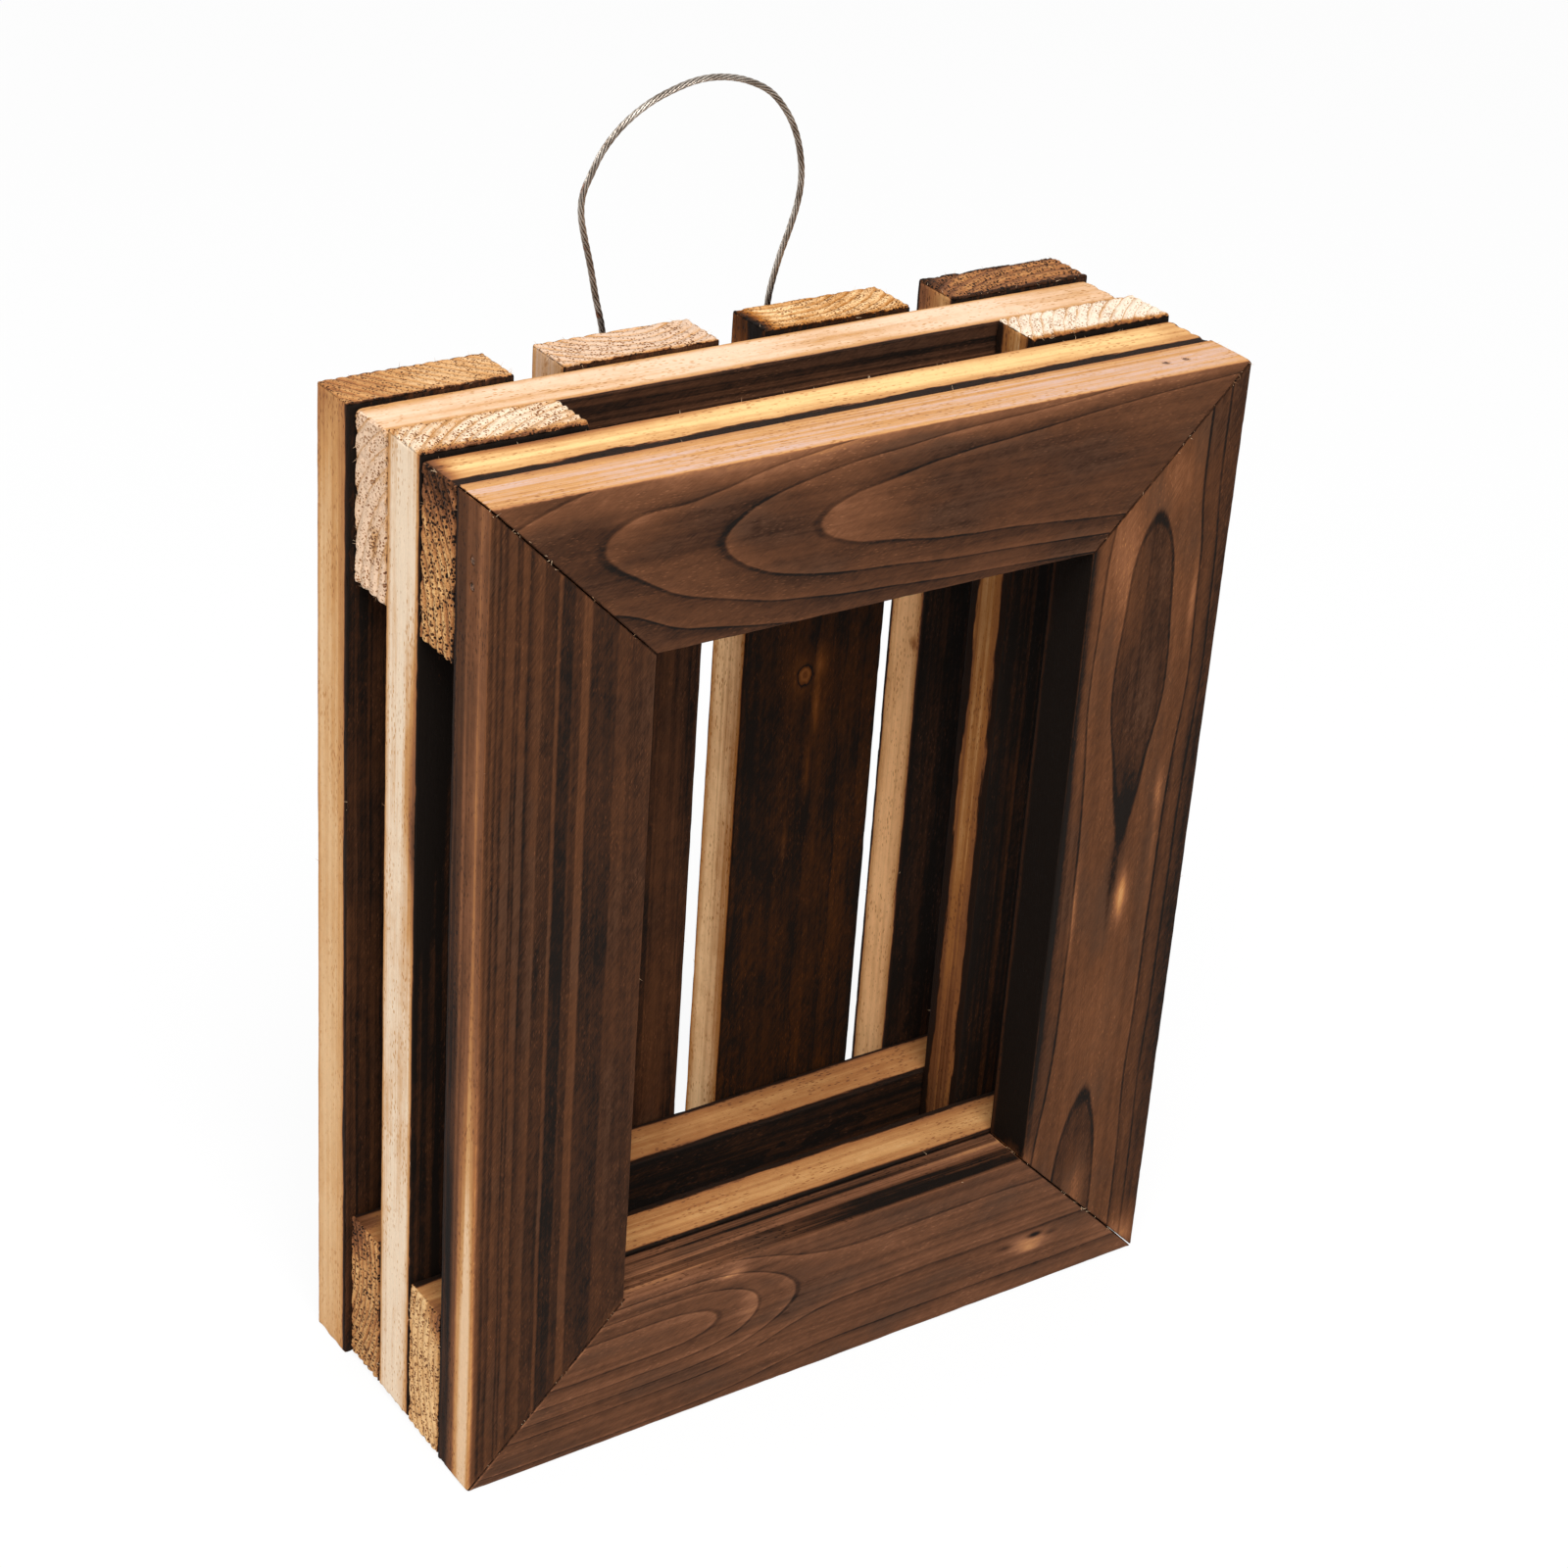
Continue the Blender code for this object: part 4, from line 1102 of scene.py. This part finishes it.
def plank_tree():
    """A plank of any size, upright or lying, rounded, torn at its ends and chipped."""
    start = new_geometry_tree("sawn_plank", {
        "Size": "Vector", "Centre": "Vector", "Upright": "Float", "Mitre": "Float",
        "Seed": "Vector", "Arris": "Float", "Heart": "Vector", "Ring Spacing": "Float",
        "End Roughness": "Float", "Chips": "Float", "Fuzz": "Float", "Material": "Material"})
    half = start.output("Size") * 0.5
    arris_mean, seed = start.output("Arris"), start.output("Seed")
    upright_sign = start.output("Upright") * 2.0 - 1.0
    grid = start.node("GeometryNodeMeshCube",
                      inputs={"Size": (2.0, 2.0, 2.0), "Vertices X": PLANK_GRID[0],
                              "Vertices Y": PLANK_GRID[1], "Vertices Z": PLANK_GRID[2]})
    even = start.node("GeometryNodeInputPosition")
    gathered = even * (1 - GRID_GATHER) + even.math("SINE", even * (pi / 2)) * GRID_GATHER
    place = gathered * half
    a, b, c = split(place)
    half_a, half_b, half_c = split(half)

    depth = c * upright_sign + half_c
    across, before = split(start.output("Heart"))[:2]
    away = from_heart(b, depth, across, before, ring_waver(a, b, depth, seed))
    ridge = away.math("FRACT", away / start.output("Ring Spacing"))
    groove = (ridge * 2.0 - 1.0) ** 2.0
    near_end = rise(half_a - abs(a), 4.0, 1.0) * start.output("End Roughness")
    arris = arris_mean * (0.55 + 0.9 * noise(place / (9.0, 5.0, 5.0) + seed))
    arris = arris + groove * near_end * 0.5
    core = place.math("MAXIMUM", place.math("MINIMUM", place, half - arris), arris - half)
    outward = place.math("NORMALIZE", place - core)
    ux, uy, uz = split(abs(outward))
    on_arris = rise(most(most(ux, uy), uz), 0.985, 0.80)
    on_end = rise(half_a - abs(a), 1.2, 0.3)

    grain = noise(join(a / 30.0, b / 1.3, c / 1.3) + seed, detail=2.0) * 0.12
    bow = noise(join(a / 80.0, b / 24.0, c / 24.0) + seed) * 0.25
    torn = noise(join(a / 4.0, b / 1.3, c / 1.3) + seed, detail=2.0, roughness=0.6)
    torn = torn * 0.4 + rise(torn, 0.50, 0.72) * 0.4 + groove * 0.6
    chipped = rise(noise(join(a / 4.5, b / 2.4, c / 2.4) + seed, detail=2.0), 0.56, 0.70)
    chips = chipped * on_arris * start.output("Chips")
    pressed = between(on_end, grain + bow, torn * start.output("End Roughness")) + chips
    worn = core + outward * (arris - pressed)

    ra, rb, rc = split(worn)
    mitre = start.output("Mitre")
    slanted = ra * (1.0 - abs(mitre) * (half_b - mitre * rb) / half_a)
    placed = between(start.output("Upright"), join(slanted, -rc, rb), join(rb, rc, slanted))
    final = placed * MM + start.output("Centre")

    fray = on_arris * rise(noise(join(a / 7.0, b / 4.0, c / 4.0) + seed), 0.42, 0.70)
    fray = fray * (0.03 + most(on_end, start.output("Fuzz") * rise(c * upright_sign, 0.0, 4.0)))
    marked = stored(grid, "fray", fray)
    moved = marked.node("GeometryNodeSetPosition", inputs={"Geometry": marked, "Position": final})
    smooth = moved.node("GeometryNodeSetShadeSmooth", inputs={"Geometry": moved})
    return end_tree(smooth, start.output("Material"))


# %% [markdown]
# ## Nails and brads
#
# Two nails fix each slat to each rail, single nails join the layers, and two thin brads hold each
# mitre. They all are turned steel pins, so each kind is one turned pin, and a Geometry Nodes tree
# sets a copy at each point, turned the way that it was driven. Their places come from the nodes that
# they stand for. The same list makes the holes: a slightly fatter pin for each plank it goes through.

# %% Where the nails are
DRIVEN = {"slat_nail": (0, -1, 0), "rear_rail_nail": (0, -1, 0), "front_rail_nail": (0, 1, 0),
          "frame_nail": (0, -1, 0), "mitre_brad_top_left": (1, 0, 0),
          "mitre_brad_top_right": (0, 0, -1), "mitre_brad_bottom_right": (-1, 0, 0),
          "mitre_brad_bottom_left": (0, 0, 1)}
PIN_SIDES = 16
PIN_TIP = 2.0 * MM
PIN_CLEARANCE = 0.25 * MM
HEAD_OPENING = 0.8 * MM       # how far a hole's cutter stands out above the head


@dataclass
class Pin:
    node: str
    head: Vector          # the middle of the head's top
    way: Vector           # the way that it was driven
    length: float
    head_radius: float


def find_pins():
    """Every nail and brad of the frame, from its node's box and the way it was driven."""
    pins = []
    for start_of_name, way in DRIVEN.items():
        way = Vector(way)
        for node in sorted(n for n in frame["nodes"] if n.startswith(start_of_name)):
            low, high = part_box(node)
            size = high - low
            length = abs(size.dot(way))
            head = (low + high) / 2 - way * length / 2
            pins.append(Pin(node, head, way, length, min(size) / 2))
    return pins


pins = find_pins()
print("pins:", len(pins))


# %% Turned pins
THICK_HEAD = 1.5 * MM         # a nail's head is wider than this to each side, a brad's is not
NAIL_SHANK, BRAD_SHANK = 0.41, 0.6      # of the head's radius
HEAD_HEIGHT = 0.55 * MM
HEAD_FLAT = 0.86              # of the head's radius, up to its soft rim
RIM_DROP = 0.12 * MM


def turned(name, profile, sides):
    """A closed turned shape along -Z: the profile is pairs of a radius and a height, from the top."""
    bm = bmesh.new()
    rings = []
    for radius, height in profile:
        if radius == 0.0:
            rings.append([bm.verts.new((0.0, 0.0, height))] * sides)
        else:
            rings.append([bm.verts.new((radius * cos(2 * pi * k / sides),
                                        radius * sin(2 * pi * k / sides), height))
                          for k in range(sides)])
    for upper, lower in zip(rings, rings[1:]):
        for k in range(sides):
            n = (k + 1) % sides
            corners = list(dict.fromkeys((upper[k], lower[k], lower[n], upper[n])))
            bm.faces.new(corners).smooth = True
    return built(bm, name, sharp=radians(40))


def pin_profile(length, head_radius, extra=0.0, above=0.0):
    """A flat head with a soft rim, a shank and a point; extra makes it fatter all round."""
    shank = head_radius * (NAIL_SHANK if head_radius > THICK_HEAD else BRAD_SHANK) + extra
    head, thick = head_radius + extra, HEAD_HEIGHT + extra
    if above:
        top = [(0.0, above), (head, above)]
    else:
        top = [(0.0, 0.0), (head * HEAD_FLAT, 0.0), (head, -RIM_DROP)]
    return top + [(head, -thick), (shank, -thick), (shank, PIN_TIP - length - extra),
                  (0.0, -length - 2 * extra)]


def pin_tree():
    """A pin at each point, its own -Z turned to the point's way, with a small random twist."""
    start = new_geometry_tree("driven_pins", {"Pin": "Object", "Seed": "Int",
                                              "Material": "Material"})
    pin = start.node("GeometryNodeObjectInfo", inputs={"Object": start.output("Pin")},
                     output="Geometry")
    way = start.node("GeometryNodeInputNamedAttribute", {"data_type": "FLOAT_VECTOR"},
                     {"Name": "way"})
    turn = way.node("FunctionNodeAlignRotationToVector", {"axis": "Z"}, {"Vector": -way})
    twist = start.node("FunctionNodeRandomValue",
                       inputs={"Max": 2 * pi, "Seed": start.output("Seed")}, output=1)
    spun = turn.node("FunctionNodeRotateRotation", {"rotation_space": "LOCAL"},
                     {"Rotation": turn, "Rotate By": join(0.0, 0.0, twist)})
    points = start.node("GeometryNodeMeshToPoints", inputs={"Mesh": start})
    placed = points.node("GeometryNodeInstanceOnPoints",
                         inputs={"Points": points, "Instance": pin, "Rotation": spun})
    return end_tree(placed, start.output("Material"))


TWIST_SEED = 3


def drive_pins(name, some, tree, finish):
    """One mesh with all the pins of a kind."""
    mesh = bpy.data.meshes.new("pin_places")
    mesh.from_pydata([pin.head for pin in some], [], [])
    ways = mesh.attributes.new("way", "FLOAT_VECTOR", "POINT")
    ways.data.foreach_set("vector", [c for pin in some for c in pin.way])
    first = some[0]
    shape = turned(name + "_shape", pin_profile(first.length, first.head_radius), PIN_SIDES)
    made = grown(name, mesh, tree, Pin=shape, Seed=TWIST_SEED, Material=finish)
    bpy.data.objects.remove(shape)
    return made


# %% Drive the nails and brads
SHORT_NAIL = 30.5 * MM        # nails up to this length are the short ones
driven = pin_tree()
nails = [pin for pin in pins if "brad" not in pin.node]
kinds = {"long_nails": [pin for pin in nails if pin.length > SHORT_NAIL],
         "short_nails": [pin for pin in nails if pin.length <= SHORT_NAIL],
         "brads": [pin for pin in pins if "brad" in pin.node]}
nailing = {name: drive_pins(name, some, driven, brad_steel if name == "brads" else nail_steel)
           for name, some in kinds.items()}

# %% [markdown]
# ## The planks with their holes
#
# Each plank is grown from its facts, and its holes are cut with a Boolean modifier. All of a plank's
# cutters go into one mesh, so the plank is cut once. The screw eyes' bores are cut the same way.

# %% Cut and finish the planks
SCREW_BORE = EYE_WIRE_RADIUS + 0.2 * MM
BORE_ABOVE = 1.0 * MM         # how far a bore's cutter stands out of the back
BORE_BEYOND = 0.3 * MM        # and how far it goes past the shank's tip
MITRED_END, MITRED_CHIPS = 0.05, 0.2    # roughness of a mitred member's ends, and its chips
SAWN_CHIPS = 0.7


def cutter_for(plank):
    """All the holes that go through a plank, as one mesh, or None."""
    low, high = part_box(plank.node)
    bm = bmesh.new()

    def add(profile, at, way):
        shape = turned("hole", profile, PIN_SIDES)
        turn = Vector((0, 0, -1)).rotation_difference(way).to_matrix().to_4x4()
        shape.data.transform(Matrix.Translation(at) @ turn)
        bm.from_mesh(shape.data)
        bpy.data.objects.remove(shape)

    for pin in pins:
        tail = pin.head + pin.way * pin.length
        ends = [Vector(map(min, pin.head, tail)), Vector(map(max, pin.head, tail))]
        if all(ends[0][i] < high[i] and ends[1][i] > low[i] for i in range(3)):
            add(pin_profile(pin.length, pin.head_radius, PIN_CLEARANCE, HEAD_OPENING),
                pin.head, pin.way)
    for x in ferrule_x.values():
        if low.x < x < high.x and high.y > hinge.y - EYE_STAND - BORE_ABOVE:
            depth = EYE_SHANK + BORE_BEYOND
            profile = [(0.0, BORE_ABOVE), (SCREW_BORE, BORE_ABOVE), (SCREW_BORE, -depth),
                       (0.0, -depth)]
            add(profile, Vector((x, high.y, hinge.z)), Vector((0, -1, 0)))
    return built(bm, "holes", wood_finishes[plank.node]) if len(bm.verts) else None


def make_plank(plank, tree):
    """A plank from its facts, with its holes."""
    centre, size, is_upright = plank_frame(plank)
    made = grown(plank.node + "_wood", bpy.data.meshes.new("nothing"), tree,
                 Size=tuple(size / MM), Centre=tuple(centre), Upright=float(is_upright),
                 Mitre=float(plank.mitre), Seed=seed_vector(plank), Arris=ARRIS_ROUND,
                 Heart=(*map(float, plank.heart), 0.0), Ring_Spacing=plank.spacing,
                 End_Roughness=MITRED_END if plank.mitre else plank.torn,
                 Chips=MITRED_CHIPS if plank.mitre else SAWN_CHIPS, Fuzz=plank.fuzz,
                 Material=wood_finishes[plank.node])
    cutter = cutter_for(plank)
    if cutter:
        boolean = made.modifiers.new("holes", "BOOLEAN")
        boolean.operation, boolean.solver = "DIFFERENCE", "MANIFOLD"
        boolean.object = cutter
        made.name = plank.node + "_solid"
        made = plain_mesh(made, plank.node + "_wood")
        bpy.data.objects.remove(cutter)
    return made


growing = plank_tree()
planks = {plank.node: make_plank(plank, growing) for plank in PLANKS}
print("triangles in planks:", sum(len(p.vertices) - 2 for o in planks.values()
                                  for p in o.data.polygons))

# %% [markdown]
# ## Splinters
#
# A saw leaves fine whiskers of wood at the arrises where its teeth come out. They are tiny, but they
# catch the light along every pale end. A tree scatters slivers over the parts of the planks that the
# plank tree marked as frayed, and leans each one a random way.

# %% Scatter the splinters
SLIVER_WIDTH = 0.07 * MM
SLIVER_LENGTH = 1.3 * MM
SLIVER_DENSITY = 900000.0     # to a square metre of wood that is frayed all over
SLIVER_LOWEST = 3.0 * MM      # above the floor, so that none pokes through it
SLIVER_LEAN = 0.9
SLIVER_TONES = 130.0          # blobs to a metre of lighter and darker slivers


def splinter_tree():
    """Slivers scattered over the frayed parts of a mesh, each leaning a random way."""
    start = new_geometry_tree("splinters", {"Density": "Float", "Width": "Float",
                                            "Length": "Float", "Seed": "Int",
                                            "Material": "Material"})
    fray = start.node("GeometryNodeInputNamedAttribute", {"data_type": "FLOAT"}, {"Name": "fray"})
    seed = start.output("Seed")
    height = split(start.node("GeometryNodeInputPosition"))[2]
    off_floor = rise(height, SLIVER_LOWEST, SLIVER_LOWEST + 1.0 * MM)
    density = fray * start.output("Density") * off_floor
    points = start.node("GeometryNodeDistributePointsOnFaces", {"distribute_method": "RANDOM"},
                        {"Mesh": start, "Density": density, "Seed": seed})
    sliver = start.node("GeometryNodeMeshCone",
                        inputs={"Vertices": 4, "Radius Top": 0.0,
                                "Radius Bottom": start.output("Width"),
                                "Depth": start.output("Length")})
    lean = start.node("FunctionNodeRandomValue", {"data_type": "FLOAT_VECTOR"},
                      {"Min": -SLIVER_LEAN, "Max": SLIVER_LEAN, "Seed": seed})
    way = points.output("Normal") + lean
    turn = way.node("FunctionNodeAlignRotationToVector", {"axis": "Z"}, {"Vector": way})
    size = start.node("FunctionNodeRandomValue", inputs={"Min": 0.3, "Max": 1.5, "Seed": seed},
                      output=1)
    placed = points.node("GeometryNodeInstanceOnPoints",
                         inputs={"Points": points, "Instance": sliver, "Rotation": turn,
                                 "Scale": join(1.0, 1.0, size)})
    return end_tree(placed, start.output("Material"))


def splinter_finish():
    """Bare wood, from pale to light brown."""
    material, shader, start = new_material("splinter_finish")
    tone = noise(object_place(start) * SLIVER_TONES, detail=2.0)
    colour = mix_colour(rise(tone, 0.35, 0.65), (0.30, 0.15, 0.07), (0.72, 0.52, 0.33))
    connect(start.tree, shader, Base_Color=colour, Roughness=0.6 + (tone - 0.5) * 0.2,
            Specular_IOR_Level=0.3)
    return material


def all_splinters(density):
    """The splinters of all planks as one mesh."""
    tree = splinter_tree()
    finish = splinter_finish()
    bm = bmesh.new()
    for k, (node, plank) in enumerate(planks.items()):
        some = grown("splinters_of_" + node, plank.data.copy(), tree, Density=density,
                     Width=SLIVER_WIDTH, Length=SLIVER_LENGTH, Seed=k, Material=finish)
        bm.from_mesh(some.data)
        bpy.data.objects.remove(some)
    return built(bm, "splinters", finish)


splinters = all_splinters(SLIVER_DENSITY)
print("splinters:", len(splinters.data.polygons), "faces")

# %% [markdown]
# ## The floor and the light
#
# The board stands on a plain white floor in soft studio light: a wide lamp up on the left, and an
# even sky. To the camera, and in reflections, both floor and sky are white, and the floor keeps a
# faint shadow, so part of what it shows is its own plain diffuse surface.

# %% The floor
FLOOR_SIDE = 6.0      # m
FLOOR_GLOW = 0.90     # the part of the floor's look that is plain white
FLOOR_DROP = 0.1 * MM     # below the board's feet


def ray_mask(start):
    """1 for rays from the camera, and for rays that a gloss or a glass sends on."""
    path = start.node("ShaderNodeLightPath", output="Is Camera Ray")
    return most(path, most(path.output("Is Glossy Ray"), path.output("Is Transmission Ray")))


def floor_finish():
    """Mostly plain white to the camera, and plain matt for the rest, which takes the shadow."""
    material, shader, start = new_material("studio_floor_finish")
    connect(start.tree, shader, Base_Color=(0.84, 0.84, 0.84, 1.0), Roughness=0.9)
    glow = start.node("ShaderNodeEmission", inputs={"Color": (1.0, 1.0, 1.0, 1.0), "Strength": 1.0})
    mixed = start.node("ShaderNodeMixShader", inputs={0: ray_mask(start) * FLOOR_GLOW,
                                                      1: Flow(start.tree, shader.outputs[0]),
                                                      2: glow})
    out = start.tree.nodes["Material Output"]
    start.tree.links.new(mixed.socket, out.inputs["Surface"])
    return material


floor_mesh = bpy.data.meshes.new("studio_floor")
s = FLOOR_SIDE / 2
floor_mesh.from_pydata([(x, y, -FLOOR_DROP) for x, y in ((-s, -s), (s, -s), (s, s), (-s, s))],
                       [], [(0, 1, 2, 3)])
floor_mesh.materials.append(floor_finish())
floor = linked(bpy.data.objects.new("studio_floor", floor_mesh))

# %% The sky and the lamp
SKY_STRENGTH = 0.72
KEY_WAY = Vector((-0.26, -0.50, 0.83)).normalized()
KEY_DISTANCE = 1.8    # m
KEY_WIDTH = 1.1       # m
KEY_POWER = 34.0      # W

world = bpy.data.worlds.new("studio_sky")
bpy.context.scene.world = world
world.use_nodes = True
sky = Flow(world.node_tree)
background = world.node_tree.nodes["Background"]
background.inputs["Color"].default_value = (1.0, 1.0, 1.0, 1.0)
level_of_sky = ray_mask(sky) * (1.0 - SKY_STRENGTH) + SKY_STRENGTH
world.node_tree.links.new(level_of_sky.socket, background.inputs["Strength"])

key = bpy.data.lights.new("key_lamp", "AREA")
key.shape = "DISK"
key.size = KEY_WIDTH
key.energy = KEY_POWER
key_lamp = linked(bpy.data.objects.new("key_lamp", key))
middle = (Vector(cad_box[0]) + Vector(cad_box[1])) / 2
key_lamp.matrix_world = (Matrix.Translation(middle + KEY_WAY * KEY_DISTANCE)
                         @ KEY_WAY.to_track_quat("Z", "Y").to_matrix().to_4x4())
print(f"lamp: {KEY_WIDTH} m wide, {KEY_POWER:.0f} W")
bpy.context.scene.view_settings.view_transform = "Standard"

# %% [markdown]
# ## Handing the pieces over
#
# Each piece takes the place of the nodes that it stands for, which are hidden, and is attached to
# what it moves with. The rope and its ferrules swing on the screw eyes; everything else is nailed
# into one board.

# %% Tell the frame about the pieces
for plank in PLANKS:
    piece = planks[plank.node]
    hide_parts(plank.node)
    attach(piece, "board")
for name, piece in nailing.items():
    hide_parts(*[pin.node for pin in kinds[name]])
    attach(piece, "board")
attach(splinters, "board")
for side in ("left", "right"):
    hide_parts("screw_eye_" + side)
    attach(screw_eyes[side], "board")
    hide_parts("wire_ferrule_" + side)
    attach(ferrules[side], "hanger")
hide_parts("hanging_wire")
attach(rope, "hanger")
